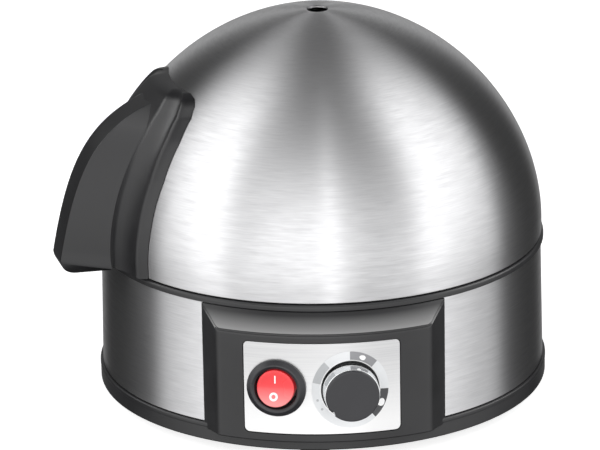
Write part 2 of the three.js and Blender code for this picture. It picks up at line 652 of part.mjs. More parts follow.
function switchBody() {
  const face = PLATE_FACE + CLEARANCE;
  const back = PLATE_FACE - BARREL_DEPTH;
  const body = turn([
    [0, back], [BARREL_RADIUS, back], [BARREL_RADIUS, face], [BEZEL_RADIUS, face],
    [BEZEL_RADIUS, face + 0.7], [BEZEL_RADIUS - 1.3, face + 1.8], [BEZEL_RADIUS - 2.3, face + 2.1],
    [SWITCH_OPENING, face + 1.5], [SWITCH_OPENING, ROCKER_PIVOT - 6], [0, ROCKER_PIVOT - 6],
  ], 24);
  const trunnionHole = rod(TRUNNION_RADIUS + CLEARANCE, -12, 12, 12).rotateY(Math.PI / 2);
  return faceOut(cut(body, trunnionHole.translate(0, 0, ROCKER_PIVOT)));
}

// The rocker level: two faces that meet in a shallow valley, and trunnions on its pivot line.
function rocker() {
  const valley = ROCKER_VALLEY;
  const rise = ROCKER_RADIUS * Math.tan(rad(ROCKER_TILT));
  const section = polygon([
    [-ROCKER_RADIUS, valley + rise], [0, valley], [ROCKER_RADIUS, valley + rise], [ROCKER_RADIUS, -0.5],
    [4, -3.2], [-4, -3.2], [-ROCKER_RADIUS, -0.5],
  ]);
  const wedge = raise(section, -9, 9).rotateX(Math.PI / 2).rotateZ(Math.PI / 2);
  const disc = rod(ROCKER_RADIUS, -4, 6, 24);
  const trunnions = rod(TRUNNION_RADIUS, -BARREL_RADIUS + 0.5, BARREL_RADIUS - 0.5, 12).rotateY(Math.PI / 2);
  return faceOut(join(common(wedge, disc), trunnions));
}

function buildSwitch() {
  const group = station(SWITCH_ANGLE, SWITCH_HEIGHT);
  add(group, 'switch_body', switchBody(), 'blackPlastic');
  const piece = add(group, 'switch_rocker', rocker(), 'redLens');
  piece.position.y = -ROCKER_PIVOT;
  piece.rotation.x = -rad(ROCKER_TILT);
  const back = PLATE_FACE - BARREL_DEPTH - CLEARANCE;
  const [width, thickness, length] = TERMINAL_TAG;
  [-TERMINAL_PITCH, 0, TERMINAL_PITCH].forEach((height, i) => {
    const tag = faceOut(block(-width / 2, width / 2, height - thickness / 2, height + thickness / 2,
      back - length, back));
    add(group, `switch_terminal_${i + 1}`, tag, 'brass');
  });
}

// ---- Dial ----

// The notch in the rim of the cap and sleeve that serves as the pointer.
function pointerNotch() {
  const angle = rad(DIAL_POINTER_ANGLE);
  const reach = DIAL_RADIUS + 1.3;
  return faceOut(rod(DIAL_POINTER_RADIUS, POCKET_FLOOR, DIAL_FACE + 1, 16)
    .translate(reach * Math.sin(angle), reach * Math.cos(angle), 0));
}

function dialKnob() {
  const skirt = SLEEVE_RADIUS - 0.95;
  const back = PLATE_FACE - 0.1;
  const lip = DIAL_FACE - DIAL_CAP_THICKNESS;
  const bore = SHAFT_RADIUS + CLEARANCE;
  const hub = NUT_FRONT + 1.4;
  const cap = turn([
    [0, DIAL_FACE], [DIAL_RADIUS - 0.4, DIAL_FACE], [DIAL_RADIUS, DIAL_FACE - 0.4], [DIAL_RADIUS, lip],
    [skirt, lip], [skirt, back], [skirt - 1.2, back], [skirt - 1.2, lip + 0.2], [5.2, lip + 0.2],
    [5.2, hub], [bore, hub], [bore, lip + 0.2], [0, lip + 0.2],
  ], 24);
  return cut(faceOut(cap), pointerNotch());
}

function knobSleeve() {
  const inner = SLEEVE_RADIUS - 0.65;
  const back = POCKET_FLOOR + 2 * CLEARANCE;
  const front = DIAL_FACE - DIAL_CAP_THICKNESS - CLEARANCE;
  const sleeve = turn([
    [inner, back], [SLEEVE_RADIUS, back], [SLEEVE_RADIUS - 0.25, front], [inner, front],
  ], 24);
  return cut(faceOut(sleeve), pointerNotch());
}

function dialControl() {
  const [width, height, depth] = CONTROL_SIZE;
  const front = Math.sqrt(HOUSING_INNER ** 2 - (width / 2) ** 2) - 2 * CLEARANCE;
  const body = block(-width / 2, width / 2, -height / 2, height / 2, front - depth, front);
  const bush = rod(BUSH_RADIUS, front - 1, NUT_FRONT + 0.8);
  const bore = rod(SHAFT_RADIUS + CLEARANCE, front - 8, NUT_FRONT + 2);
  return faceOut(cut(join(body, bush), bore));
}

function buildDial() {
  const group = station(DIAL_ANGLE, DIAL_HEIGHT);
  add(group, 'dial_control', dialControl(), 'blackPlastic');
  const nutBore = rod(BUSH_RADIUS + CLEARANCE, NUT_BACK - 1, NUT_FRONT + 1);
  const nut = cut(rod(NUT_RADIUS, NUT_BACK, NUT_FRONT, 6), nutBore);
  add(group, 'dial_nut', faceOut(nut), 'steel');
  add(group, 'dial_knob', dialKnob(), 'blackPlastic');
  add(group, 'knob_sleeve', knobSleeve(), 'chrome');
  const shaft = rod(SHAFT_RADIUS, HOUSING_INNER - 8, DIAL_FACE - 2 - CLEARANCE);
  add(group, 'dial_shaft', faceOut(shaft), 'brass');
}

// ---- Electronics and cord gland ----

function boardCorners() {
  const [width, depth] = BOARD_SIZE;
  const [x, y] = BOARD_CENTRE;
  const dx = width / 2 - 4;
  const dy = depth / 2 - 4;
  return [[x - dx, y - dy], [x + dx, y - dy], [x - dx, y + dy], [x + dx, y + dy]];
}

function buildElectronics() {
  const [width, depth, sheet] = BOARD_SIZE;
  const [x, y] = BOARD_CENTRE;
  const top = BOARD_LEVEL + sheet;
  const board = block(x - width / 2, x + width / 2, y - depth / 2, y + depth / 2, BOARD_LEVEL, top);
  const holes = boardCorners().map(([cx, cy]) => rod(BOARD_SCREW_HOLE, 0, 20, 12).translate(cx, cy, 0));
  add(cooker, 'control_board', cut(board, ...holes), 'board');
  boardCorners().forEach(([cx, cy], i) => {
    const piece = add(cooker, `board_screw_${i + 1}`,
      screw(0, 6.5, 1, 2.2).rotateX(Math.PI), 'steel');
    piece.position.set(cx, cy, top + CLEARANCE);
  });
  const seat = top + CLEARANCE;
  const [relayWidth, relayDepth, relayHeight] = RELAY_SIZE;
  const relay = block(-relayWidth / 2, relayWidth / 2, -relayDepth / 2, relayDepth / 2, 0, relayHeight);
  add(cooker, 'relay', relay.translate(x - 12.5, y, seat), 'blackPlastic');
  const buzzer = pipe(1.2, BUZZER_RADIUS, seat, seat + BUZZER_HEIGHT);
  add(cooker, 'buzzer', buzzer.translate(x + 14, y, 0), 'blackPlastic');
  const [blockWidth, blockDepth, blockHeight] = TERMINAL_BLOCK_SIZE;
  const terminals = block(-blockWidth / 2, blockWidth / 2, TERMINAL_BLOCK_PLACE - blockDepth / 2,
    TERMINAL_BLOCK_PLACE + blockDepth / 2, FLOOR_TOP + CLEARANCE, FLOOR_TOP + CLEARANCE + blockHeight);
  const entries = [-7, 0, 7].map((dx) => rod(TERMINAL_ENTRY_RADIUS, 40, 60, 10)
    .rotateX(-Math.PI / 2).translate(dx, 0, 12));
  add(cooker, 'terminal_block', cut(terminals, ...entries), 'ivoryPlastic');
}

function buildGland() {
  const group = station(180, GLAND_HEIGHT);
  const wallOuter = bandRadius(GLAND_HEIGHT);
  const back = SHELL_INNER - 4.5;
  const seat = wallOuter + CLEARANCE;
  const gland = turn([
    [GLAND_BORE, back], [GLAND_RADIUS, back], [GLAND_RADIUS, seat], [GLAND_FLANGE_RADIUS, seat],
    [GLAND_FLANGE_RADIUS, seat + 1.2], [GLAND_FLANGE_RADIUS - 1.2, seat + 2.4], [GLAND_BORE, seat + 2.4],
  ], SMALL_SEGMENTS);
  add(group, 'cord_gland', faceOut(gland), 'blackPlastic');
  const nut = cut(rod(9.5, SHELL_INNER - 3.6, SHELL_INNER - 0.8, 6),
    rod(GLAND_RADIUS + CLEARANCE, SHELL_INNER - 5, SHELL_INNER));
  add(group, 'gland_nut', faceOut(nut), 'blackPlastic');
}

// ---- Egg tray ----

// The tray rests on the ring, its skirt drops into the well and its rim stands inside the lid.
function eggTray() {
  const skirt = DISH_FLANGE + TRAY_SHEET + CLEARANCE;
  const rimInner = TRAY_RIM_RADIUS - TRAY_SHEET;
  const inner = TRAY_WALL - TRAY_SHEET;
  const shelf = TRAY_SEAT + TRAY_SHEET;
  const tray = turn([
    [0, TRAY_TOP - TRAY_SHEET], [inner, TRAY_TOP - TRAY_SHEET], [inner, skirt], [TRAY_WALL, skirt],
    [TRAY_WALL, TRAY_SEAT], [TRAY_RIM_RADIUS, TRAY_SEAT], [TRAY_RIM_RADIUS, TRAY_SEAT + TRAY_RIM_HEIGHT],
    [rimInner, TRAY_SEAT + TRAY_RIM_HEIGHT], [rimInner, shelf], [TRAY_WALL, shelf], [TRAY_WALL, TRAY_TOP],
    [0, TRAY_TOP],
  ]);
  const seats = [];
  for (let i = 0; i < EGG_COUNT; i += 1) {
    seats.push(shift(rod(EGG_SEAT_RADIUS, TRAY_SEAT, TRAY_TOP + 1), 360 * i / EGG_COUNT, EGG_PITCH_RADIUS));
  }
  const screwHole = rod(SCREW_RADIUS + CLEARANCE, TRAY_SEAT, TRAY_TOP + 1, 12);
  return cut(tray, ...seats, screwHole);
}

function trayHandle() {
  const bottom = TRAY_TOP + CLEARANCE;
  const top = bottom + TRAY_HANDLE_HEIGHT;
  const grip = TRAY_HANDLE_RADIUS;
  const bore = SCREW_RADIUS + CLEARANCE;
  return turn([
    [bore, bottom], [grip - 2, bottom], [grip - 5, bottom + 4], [grip - 6, top - 8], [grip, top - 5],
    [grip, top - 2], [grip - 3, top], [0, top], [0, bottom + 12], [bore, bottom + 12],
  ], SMALL_SEGMENTS);
}

function buildTray() {
  add(cooker, 'egg_tray', eggTray(), 'steel');
  add(cooker, 'tray_handle', trayHandle(), 'blackPlastic');
  const tip = TRAY_TOP + CLEARANCE + 11;
  add(cooker, 'tray_screw', screw(TRAY_TOP - TRAY_SHEET - CLEARANCE, tip), 'steel');
}

// ---- Lid ----

// Height of the dome's surface at a radius, moved outward by an offset.
function domeHeight(radius, offset) {
  const share = (radius / (DOME_RADIUS + offset)) ** DOME_FULLNESS;
  return DOME_SPRING + (DOME_RISE + offset) * (1 - share) ** (1 / DOME_FULLNESS);
}

// The dome's outline from its lower edge up to a last radius near the axis.
function domeOutline(offset, lastRadius) {
  const points = [[DOME_RADIUS + offset, LID_BOTTOM]];
  for (let i = 0; i < DOME_STEPS; i += 1) {
    const angle = rad(90 * i / DOME_STEPS);
    const power = 2 / DOME_FULLNESS;
    points.push([
      (DOME_RADIUS + offset) * Math.cos(angle) ** power,
      DOME_SPRING + (DOME_RISE + offset) * Math.sin(angle) ** power,
    ]);
  }
  points.push([lastRadius, domeHeight(lastRadius, offset)]);
  return points;
}

// Everything inside the dome's surface, moved outward by an offset.
function domeBody(offset) {
  const low = LID_BOTTOM - 10;
  const [edge, ...rest] = domeOutline(offset, 0);
  return turn([[0, low], [edge[0], low], edge, ...rest]);
}

function handleScrewHole(height) {
  const end = domeInside(height) + HANDLE_SCREW_REACH + 2;
  const hole = faceOut(rod(SCREW_RADIUS + CLEARANCE, DOME_RADIUS - 48, end, 12));
  return hole.translate(0, 0, LID_BOTTOM + height);
}

function lidDome() {
  const inner = domeOutline(-DOME_SHEET, STEAM_HOLE_RADIUS).reverse();
  const shell = turn([...domeOutline(0, STEAM_HOLE_RADIUS), ...inner]);
  const holes = HANDLE_SCREW_HEIGHTS.map((height) => handleScrewHole(height).rotateZ(rad(HANDLE_ANGLE)));
  return cut(shell, ...holes);
}

// The fin's outline in radius and height above the lid's edge.
function finOutline() {
  const tip = DOME_RADIUS + HANDLE_REACH;
  const inside = DOME_RADIUS - 48;
  const shape = new THREE.Shape();
  shape.moveTo(inside, 0);
  shape.lineTo(tip - 3.4, 0);
  shape.quadraticCurveTo(tip - 0.6, 0, tip, 1.8);
  shape.bezierCurveTo(tip - 7.2, 40.2, tip - 16.5, 55.4, tip - 47.6, HANDLE_HEIGHT);
  shape.lineTo(inside, HANDLE_HEIGHT);
  return shape;
}

function lidHandle() {
  const inDome = (offset) => domeBody(offset).rotateZ(-rad(HANDLE_ANGLE));
  const fin = raise(finOutline(), -HANDLE_WIDTH / 2, HANDLE_WIDTH / 2, 10)
    .rotateX(Math.PI / 2).rotateZ(-Math.PI / 2).translate(0, 0, LID_BOTTOM);
  const mirrored = SADDLE_SIDE.map(([x, y]) => [-x, y]).reverse();
  const outline = new THREE.Shape([...SADDLE_SIDE, ...mirrored].map(([x, y]) => new THREE.Vector2(x, y)));
  const front = faceOut(raise(outline, DOME_RADIUS - 58, DOME_RADIUS + 22)).translate(0, 0, LID_BOTTOM);
  const saddle = common(inDome(SADDLE_THICKNESS + CLEARANCE), front);
  const pilots = HANDLE_SCREW_HEIGHTS.map((height) => handleScrewHole(height));
  return cut(join(fin, saddle), inDome(CLEARANCE), ...pilots);
}

// Radius of the dome's inside at a height above the lid's edge.
function domeInside(height) {
  const rise = (LID_BOTTOM + height - DOME_SPRING) / (DOME_RISE - DOME_SHEET);
  return (DOME_RADIUS - DOME_SHEET) * (1 - rise ** DOME_FULLNESS) ** (1 / DOME_FULLNESS);
}

function buildLid() {
  add(cooker, 'lid_dome', lidDome(), 'steel');
  add(station(HANDLE_ANGLE), 'lid_handle', lidHandle(), 'blackPlastic');
  HANDLE_SCREW_HEIGHTS.forEach((height, i) => {
    const group = station(HANDLE_ANGLE, LID_BOTTOM + height);
    const seat = domeInside(height + 5) - CLEARANCE;
    const washer = faceOut(pipe(SCREW_RADIUS + CLEARANCE, 4, seat - 1, seat, 16));
    add(group, `handle_washer_${i + 1}`, washer, 'steel');
    add(group, `handle_screw_${i + 1}`, faceOut(screw(seat - 1 - CLEARANCE,
      domeInside(height) + HANDLE_SCREW_REACH)), 'steel');
  });
}

buildBase();
buildHeater();
buildHousing();
buildSwitch();
buildDial();
buildElectronics();
buildGland();
buildTray();
buildLid();

export default cooker;
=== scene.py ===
"""Electric egg cooker: its fine surfaces, finishes, studio and camera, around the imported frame.

Lengths are in metres. The control housing faces -Y, +Z is up, and the axis of the cooker is X = Y = 0.
"""

import json
import math

import bmesh
import bpy
from mathutils import Matrix, Vector


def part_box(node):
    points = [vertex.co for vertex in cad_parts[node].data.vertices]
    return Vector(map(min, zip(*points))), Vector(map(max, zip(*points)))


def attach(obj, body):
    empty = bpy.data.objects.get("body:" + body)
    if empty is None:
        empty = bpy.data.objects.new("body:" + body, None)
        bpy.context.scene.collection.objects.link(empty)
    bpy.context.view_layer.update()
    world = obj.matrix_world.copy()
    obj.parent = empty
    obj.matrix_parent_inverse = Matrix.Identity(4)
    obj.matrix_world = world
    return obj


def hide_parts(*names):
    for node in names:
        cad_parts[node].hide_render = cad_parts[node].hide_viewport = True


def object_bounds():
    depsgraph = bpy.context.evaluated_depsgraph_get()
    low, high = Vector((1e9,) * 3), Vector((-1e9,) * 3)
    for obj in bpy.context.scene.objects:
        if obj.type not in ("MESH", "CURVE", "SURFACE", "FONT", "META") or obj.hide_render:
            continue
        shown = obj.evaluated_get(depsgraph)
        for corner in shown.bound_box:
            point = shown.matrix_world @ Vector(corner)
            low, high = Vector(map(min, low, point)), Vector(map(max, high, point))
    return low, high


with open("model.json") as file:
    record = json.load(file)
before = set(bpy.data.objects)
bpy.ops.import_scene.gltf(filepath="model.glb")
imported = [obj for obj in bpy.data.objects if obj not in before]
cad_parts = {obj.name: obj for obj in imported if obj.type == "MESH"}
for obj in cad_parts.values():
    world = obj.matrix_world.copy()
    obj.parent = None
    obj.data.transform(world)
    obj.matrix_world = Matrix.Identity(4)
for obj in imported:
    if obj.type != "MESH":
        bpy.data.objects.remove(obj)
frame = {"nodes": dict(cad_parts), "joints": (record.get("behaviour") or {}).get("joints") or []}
CAD_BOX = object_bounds()
MM = 0.001
ROUND_SEGMENTS = 240  # sides of the large turned pieces
SMALL_SEGMENTS = 96  # sides of the switch, dial and screws

# ---- Places read from the frame ----

JOINTS = {joint["name"]: joint for joint in frame["joints"]}


def low(node):
    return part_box(node)[0]


def high(node):
    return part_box(node)[1]


def reach(node):
    """A node's outer radius about the cooker's axis."""
    return max(math.hypot(v.co.x, v.co.y) for v in frame["nodes"][node].data.vertices)


RIM_RADIUS = reach("bottom_cover")
RIM_TOP = 7.2 * MM
BAND_BOTTOM = low("steel_band").z
BAND_TOP = high("steel_band").z
BAND_LOW_RADIUS = reach("steel_band")
BAND_TOP_RADIUS = BAND_LOW_RADIUS - 0.8 * MM
BAND_SHEET = 0.6 * MM
BAND_GAP = math.radians(28.5)
RING_RADIUS = reach("base_shell")
RING_BOTTOM = BAND_TOP + 0.3 * MM
RING_TOP = RING_BOTTOM + 2.4 * MM
LID_BOTTOM = low("lid_dome").z
LID_RADIUS = reach("lid_dome")
LID_TOP = high("lid_dome").z
LID_SPRING = LID_BOTTOM + 4.5 * MM
LID_FULLNESS = 1.92
LID_SHEET = 0.8 * MM
STEAM_HOLE = 4.1 * MM

HOUSING_RADIUS = reach("panel_housing")
HOUSING_BOTTOM = low("panel_housing").z
HOUSING_TOP = high("panel_housing").z
HOUSING_SLOPE_START = HOUSING_TOP - 7 * MM
HOUSING_SLOPE_RADIUS = BAND_TOP_RADIUS + 0.8 * MM
HOUSING_FOOT_ANGLE = math.radians(31.9)
HOUSING_FACE_ANGLE = math.radians(25.9)
HOUSING_CORNER = 4.5 * MM
PLATE_FACE = HOUSING_RADIUS - 0.2 * MM
PLATE_SHEET = 0.7 * MM
PLATE_LOW = low("panel_plate")
PLATE_HIGH = high("panel_plate")
PLATE_LEFT = HOUSING_RADIUS * math.asin(PLATE_LOW.x / PLATE_FACE)
PLATE_RIGHT = HOUSING_RADIUS * math.asin(PLATE_HIGH.x / PLATE_FACE)
PLATE_CORNER = 2 * MM
BARREL_HOLE = 10.4 * MM

HANDLE_AZIMUTH = math.radians(-75)
HANDLE_WIDTH = 14 * MM


class Station:
    """A place on the housing's front: its centre, its outward direction and the sideways one."""

    def __init__(self, joint):
        pivot = Vector(JOINTS[joint]["pos_m"])
        self.outward = Vector((pivot.x, pivot.y, 0)).normalized()
        self.sideways = Vector((-self.outward.y, self.outward.x, 0))
        self.angle = math.atan2(pivot.x, -pivot.y)
        self.height = pivot.z
        self.pivot = pivot

    def turn(self):
        """Turns a piece made about +Z, with +Y up, so that +Z points out of the cooker here."""
        return Matrix((self.sideways, Vector((0, 0, 1)), self.outward)).transposed().to_4x4()

    def matrix(self):
        """The same turn, raised to this height."""
        return Matrix.Translation((0, 0, self.height)) @ self.turn()


SWITCH = Station("rocker_tilt")
DIAL = Station("dial_turn")


# ---- Mesh tools ----


def mesh_object(name, verts, faces):
    mesh = bpy.data.meshes.new(name)
    mesh.from_pydata([tuple(v) for v in verts], [], faces)
    mesh.validate()
    piece = bpy.data.objects.new(name, mesh)
    bpy.context.scene.collection.objects.link(piece)
    return piece


def tidy(piece, sharp=35):
    """Faces outward, smooth shading, and edges sharper than an angle left crisp."""
    work = bmesh.new()
    work.from_mesh(piece.data)
    bmesh.ops.remove_doubles(work, verts=work.verts, dist=1e-7)
    bmesh.ops.recalc_face_normals(work, faces=work.faces)
    for face in work.faces:
        face.smooth = True
    for edge in work.edges:
        flat = len(edge.link_faces) == 2 and edge.calc_face_angle(0) < math.radians(sharp)
        edge.smooth = flat
    work.to_mesh(piece.data)
    work.free()
    return piece


def around(radius, angle, height):
    """A point round the cooker's axis. The angle runs from the front, -Y, to the right."""
    return (radius * math.sin(angle), -radius * math.cos(angle), height)


def quads_between(here, there, size):
    """The faces between two closed rings of points, given where each ring starts."""
    return [(here + j, there + j, there + (j + 1) % size, here + (j + 1) % size) for j in range(size)]


def corner_arc(before, corner, after, radius, steps):
    """Points of a rounded corner between two straight lines."""
    a = (before - corner).normalized()
    b = (after - corner).normalized()
    half = a.angle(b) / 2
    cut = min(radius / math.tan(half), 0.49 * (before - corner).length, 0.49 * (after - corner).length)
    radius = cut * math.tan(half)
    centre = corner + (a + b).normalized() * (radius / math.sin(half))
    start = corner + a * cut - centre
    end = corner + b * cut - centre
    sweep = start.angle_signed(end)
    points = []
    for i in range(steps + 1):
        angle = -sweep * i / steps
        spun = Vector((start.x * math.cos(angle) - start.y * math.sin(angle),
                       start.x * math.sin(angle) + start.y * math.cos(angle)))
        points.append(centre + spun)
    return points


def rounded(corners, steps=5):
    """A closed outline from (x, y, radius) corners, each rounded by its radius."""
    spots = [Vector(c[:2]) for c in corners]
    points = []
    for i, corner in enumerate(corners):
        radius = corner[2] if len(corner) > 2 else 0
        if radius <= 0:
            points.append(spots[i])
            continue
        points += corner_arc(spots[i - 1], spots[i], spots[(i + 1) % len(spots)], radius, steps)
    return points


def turned(name, outline, segments=ROUND_SEGMENTS, start=0.0, end=2 * math.pi):
    """A closed (radius, height) outline turned about +Z. Angles run from the front, -Y, to the right."""
    full = abs(end - start - 2 * math.pi) < 1e-9
    count = segments if full else segments + 1
    size = len(outline)
    verts = []
    for i in range(count):
        angle = start + (end - start) * i / segments
        verts += [around(r, angle, z) for r, z in outline]
    faces = []
    for i in range(segments):
        faces += quads_between(i * size, (i + 1) % count * size, size)
    if not full:
        faces.append(tuple(range(size)))
        faces.append(tuple(reversed(range(segments * size, segments * size + size))))
    return tidy(mesh_object(name, verts, faces))


def rod(name, radius, bottom, top, segments):
    """A plain round bar about +Z."""
    return turned(name, rounded([(0, bottom), (radius, bottom), (radius, top), (0, top)]), segments)


def raised(name, outline, bottom, top, rim=0.0, sharp=35):
    """A closed outline in X and Y raised in Z, with its top and bottom edges rounded by rim."""
    verts, rings = [], []
    steps = 3 if rim > 0 else 0
    levels = [(bottom, rim)] if rim > 0 else [(bottom, 0)]
    for i in range(1, steps + 1):
        angle = math.pi / 2 * i / steps
        levels.append((bottom + rim * (1 - math.cos(angle)), rim * (1 - math.sin(angle))))
    upper = [(bottom + top - z, inset) for z, inset in reversed(levels)]
    for z, inset in levels + upper:
        rings.append(len(verts))
        verts += [(x, y, z) for x, y in inset_outline(outline, inset)]
    size = len(outline)
    faces = [tuple(reversed(range(size)))]
    for first, second in zip(rings, rings[1:]):
        for j in range(size):
            k = (j + 1) % size
            faces.append((first + j, first + k, second + k, second + j))
    faces.append(tuple(range(rings[-1], rings[-1] + size)))
    return tidy(mesh_object(name, verts, faces), sharp)


def inset_outline(outline, inset):
    """The outline moved inward, for a small rounding of its edges."""
    if inset <= 0:
        return [tuple(p) for p in outline]
    area = sum(a[0] * b[1] - b[0] * a[1] for a, b in zip(outline, outline[1:] + outline[:1]))
    side = 1 if area > 0 else -1
    moved = []
    for i, point in enumerate(outline):
        before = Vector(outline[i - 1])
        after = Vector(outline[(i + 1) % len(outline)])
        run = (after - before).normalized()
        moved.append((point[0] - side * run.y * inset, point[1] + side * run.x * inset))
    return moved


def round_rectangle(x0, x1, y0, y1, radius, steps=8):
    return rounded([(x0, y0, radius), (x1, y0, radius), (x1, y1, radius), (x0, y1, radius)], steps)


def ellipse(x, y, half_width, half_height, count=96):
    return [Vector((x + half_width * math.cos(2 * math.pi * i / count),
                    y + half_height * math.sin(2 * math.pi * i / count))) for i in range(count)]


def carve(piece, cutter, operation="DIFFERENCE"):
    """Cuts one mesh with another and throws the cutter away."""
    modifier = piece.modifiers.new("carve", "BOOLEAN")
    modifier.operation = operation
    modifier.solver = "EXACT"
    modifier.object = cutter
    bpy.context.view_layer.update()
    result = bpy.data.meshes.new_from_object(piece.evaluated_get(bpy.context.evaluated_depsgraph_get()))
    piece.modifiers.clear()
    piece.data = result
    bpy.data.objects.remove(cutter)
    return piece


def moved(piece, matrix):
    piece.data.transform(matrix)
    return piece


def sliced(piece, spacing, half_width):
    """Cuts a flat piece into narrow strips across X, so that it can be curved."""
    work = bmesh.new()
    work.from_mesh(piece.data)
    steps = math.ceil(half_width / spacing)
    for i in range(-steps, steps + 1):
        geometry = work.verts[:] + work.edges[:] + work.faces[:]
        bmesh.ops.bisect_plane(work, geom=geometry, plane_co=(i * spacing, 0, 0), plane_no=(1, 0, 0))
    work.to_mesh(piece.data)
    work.free()
    return piece


def curved(piece, radius, spacing=1.5 * MM):
    """Bends a piece made flat in X and Y, with Z outward, round the cooker's axis at a radius.

    X becomes the distance along the front and Y the height.
    """
    sliced(piece, spacing, max(abs(v.co.x) for v in piece.data.vertices))
    for vertex in piece.data.vertices:
        along, up, out = vertex.co
        angle = along / radius
        vertex.co = around(radius + out, angle, up)
    return tidy(piece)


def ride(piece, body, slot, finish, *nodes):
    """Gives a piece its body, its finish and the frame nodes that it stands for. The record's slot is passed
    but not used.
    """
    piece.data.materials.clear()
    piece.data.materials.append(finish)
    if "plastic" in finish.name:
        PLASTIC.objects.link(piece)
    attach(piece, body)
    if nodes:
        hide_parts(*nodes)
    even = piece.modifiers.new("even_normals", "WEIGHTED_NORMAL")
    even.keep_sharp = True
    even.weight = 80
    return piece


PLASTIC = bpy.data.collections.new("plastic")


# ---- Node groups shared by the finishes ----

NOISE_LOW = 0.3
NOISE_HIGH = 0.7


class Nodes:
    """A short way to place and link nodes in one tree."""

    def __init__(self, tree):
        self.tree = tree

    def add(self, kind, settings=None, **inputs):
        node = self.tree.nodes.new(kind)
        for key, value in (settings or {}).items():
            setattr(node, key, value)
        for key, value in inputs.items():
            self.feed(node, key.replace("_", " "), value)
        return node

    def feed(self, node, socket, value):
        target = node.inputs[socket] if isinstance(socket, str) else socket
        if isinstance(value, bpy.types.NodeSocket):
            self.tree.links.new(value, target)
        else:
            target.default_value = value

    def math(self, operation, *values):
        node = self.tree.nodes.new("ShaderNodeMath")
        node.operation = operation
        for socket, value in zip(node.inputs, values):
            self.feed(node, socket, value)
        return node.outputs[0]

    def spread(self, noise, to_low, to_high):
        """The range that a noise mostly stays in, stretched to another one."""
        return self.remap(noise, NOISE_LOW, NOISE_HIGH, to_low, to_high)

    def remap(self, value, from_low, from_high, to_low, to_high):
        node = self.tree.nodes.new("ShaderNodeMapRange")
        for socket, number in zip(node.inputs, (value, from_low, from_high, to_low, to_high)):
            self.feed(node, socket, number)
        return node.outputs[0]


def new_group(name, inputs, outputs):
    tree = bpy.data.node_groups.new(name, "ShaderNodeTree")
    for label, kind, value in inputs:
        socket = tree.interface.new_socket(label, in_out="INPUT", socket_type=kind)
        if value is not None:
            socket.default_value = value
    for label, kind in outputs:
        tree.interface.new_socket(label, in_out="OUTPUT", socket_type=kind)
    nodes = Nodes(tree)
    return nodes, nodes.add("NodeGroupInput"), nodes.add("NodeGroupOutput")


def round_brush_group():
    """Fine lines that run round the cooker's axis, as a spun dome or a brushed band has."""
    nodes, given, out = new_group("round_brush", [
        ("Vector", "NodeSocketVector", None), ("Along", "NodeSocketFloat", 3.0),
        ("Across", "NodeSocketFloat", 2200.0)],
        [("Lines", "NodeSocketFloat"), ("Streaks", "NodeSocketFloat")])
    place = nodes.add("ShaderNodeSeparateXYZ", Vector=given.outputs["Vector"])
    x, y, z = place.outputs
    radius = nodes.math("MAXIMUM", nodes.math("SQRT", nodes.math(
        "ADD", nodes.math("MULTIPLY", x, x), nodes.math("MULTIPLY", y, y))), 0.0005)
    cosine = nodes.math("MULTIPLY", nodes.math("DIVIDE", x, radius), given.outputs["Along"])
    sine = nodes.math("MULTIPLY", nodes.math("DIVIDE", y, radius), given.outputs["Along"])
    level = nodes.math("SUBTRACT", z, nodes.math("MULTIPLY", radius, 0.8))
    across = nodes.math("MULTIPLY", level, given.outputs["Across"])
    spot = nodes.add("ShaderNodeCombineXYZ", X=cosine, Y=sine, Z=across)
    fine = nodes.add("ShaderNodeTexNoise", Vector=spot.outputs[0], Scale=1.0, Detail=3.0, Roughness=0.65)
    wide_spot = nodes.add("ShaderNodeCombineXYZ", X=cosine, Y=sine,
                          Z=nodes.math("MULTIPLY", across, 0.16))
    wide = nodes.add("ShaderNodeTexNoise", Vector=wide_spot.outputs[0], Scale=1.0, Detail=2.0, Roughness=0.6)
    nodes.feed(out, "Lines", fine.outputs["Fac"])
    nodes.feed(out, "Streaks", wide.outputs["Fac"])
    return nodes.tree


def grain_group():
    """The fine stipple of moulded plastic and rubber, with slow patches of polish."""
    nodes, given, out = new_group("moulded_grain", [
        ("Vector", "NodeSocketVector", None), ("Fineness", "NodeSocketFloat", 2600.0)],
        [("Height", "NodeSocketFloat"), ("Patches", "NodeSocketFloat")])
    fine = nodes.add("ShaderNodeTexNoise", Vector=given.outputs["Vector"], Scale=given.outputs["Fineness"],
                     Detail=2.0, Roughness=0.5)
    slow = nodes.add("ShaderNodeTexNoise", Vector=given.outputs["Vector"], Scale=38.0, Detail=3.0,
                     Roughness=0.55)
    nodes.feed(out, "Height", fine.outputs["Fac"])
    nodes.feed(out, "Patches", slow.outputs["Fac"])
    return nodes.tree


def straight_brush_group():
    """Fine lines that run sideways across a flat or gently curved sheet."""
    nodes, given, out = new_group("straight_brush", [
        ("Vector", "NodeSocketVector", None), ("Along", "NodeSocketFloat", 25.0),
        ("Across", "NodeSocketFloat", 2600.0)], [("Lines", "NodeSocketFloat")])
    place = nodes.add("ShaderNodeSeparateXYZ", Vector=given.outputs["Vector"])
    along = nodes.math("MULTIPLY", place.outputs["X"], given.outputs["Along"])
    across = nodes.math("MULTIPLY", place.outputs["Z"], given.outputs["Across"])
    spot = nodes.add("ShaderNodeCombineXYZ", X=along, Y=0.0, Z=across)
    fine = nodes.add("ShaderNodeTexNoise", Vector=spot.outputs[0], Scale=1.0, Detail=3.0, Roughness=0.6)
    nodes.feed(out, "Lines", fine.outputs["Fac"])
    return nodes.tree


ROUND_BRUSH = round_brush_group()
STRAIGHT_BRUSH = straight_brush_group()
GRAIN = grain_group()


# ---- Finishes ----


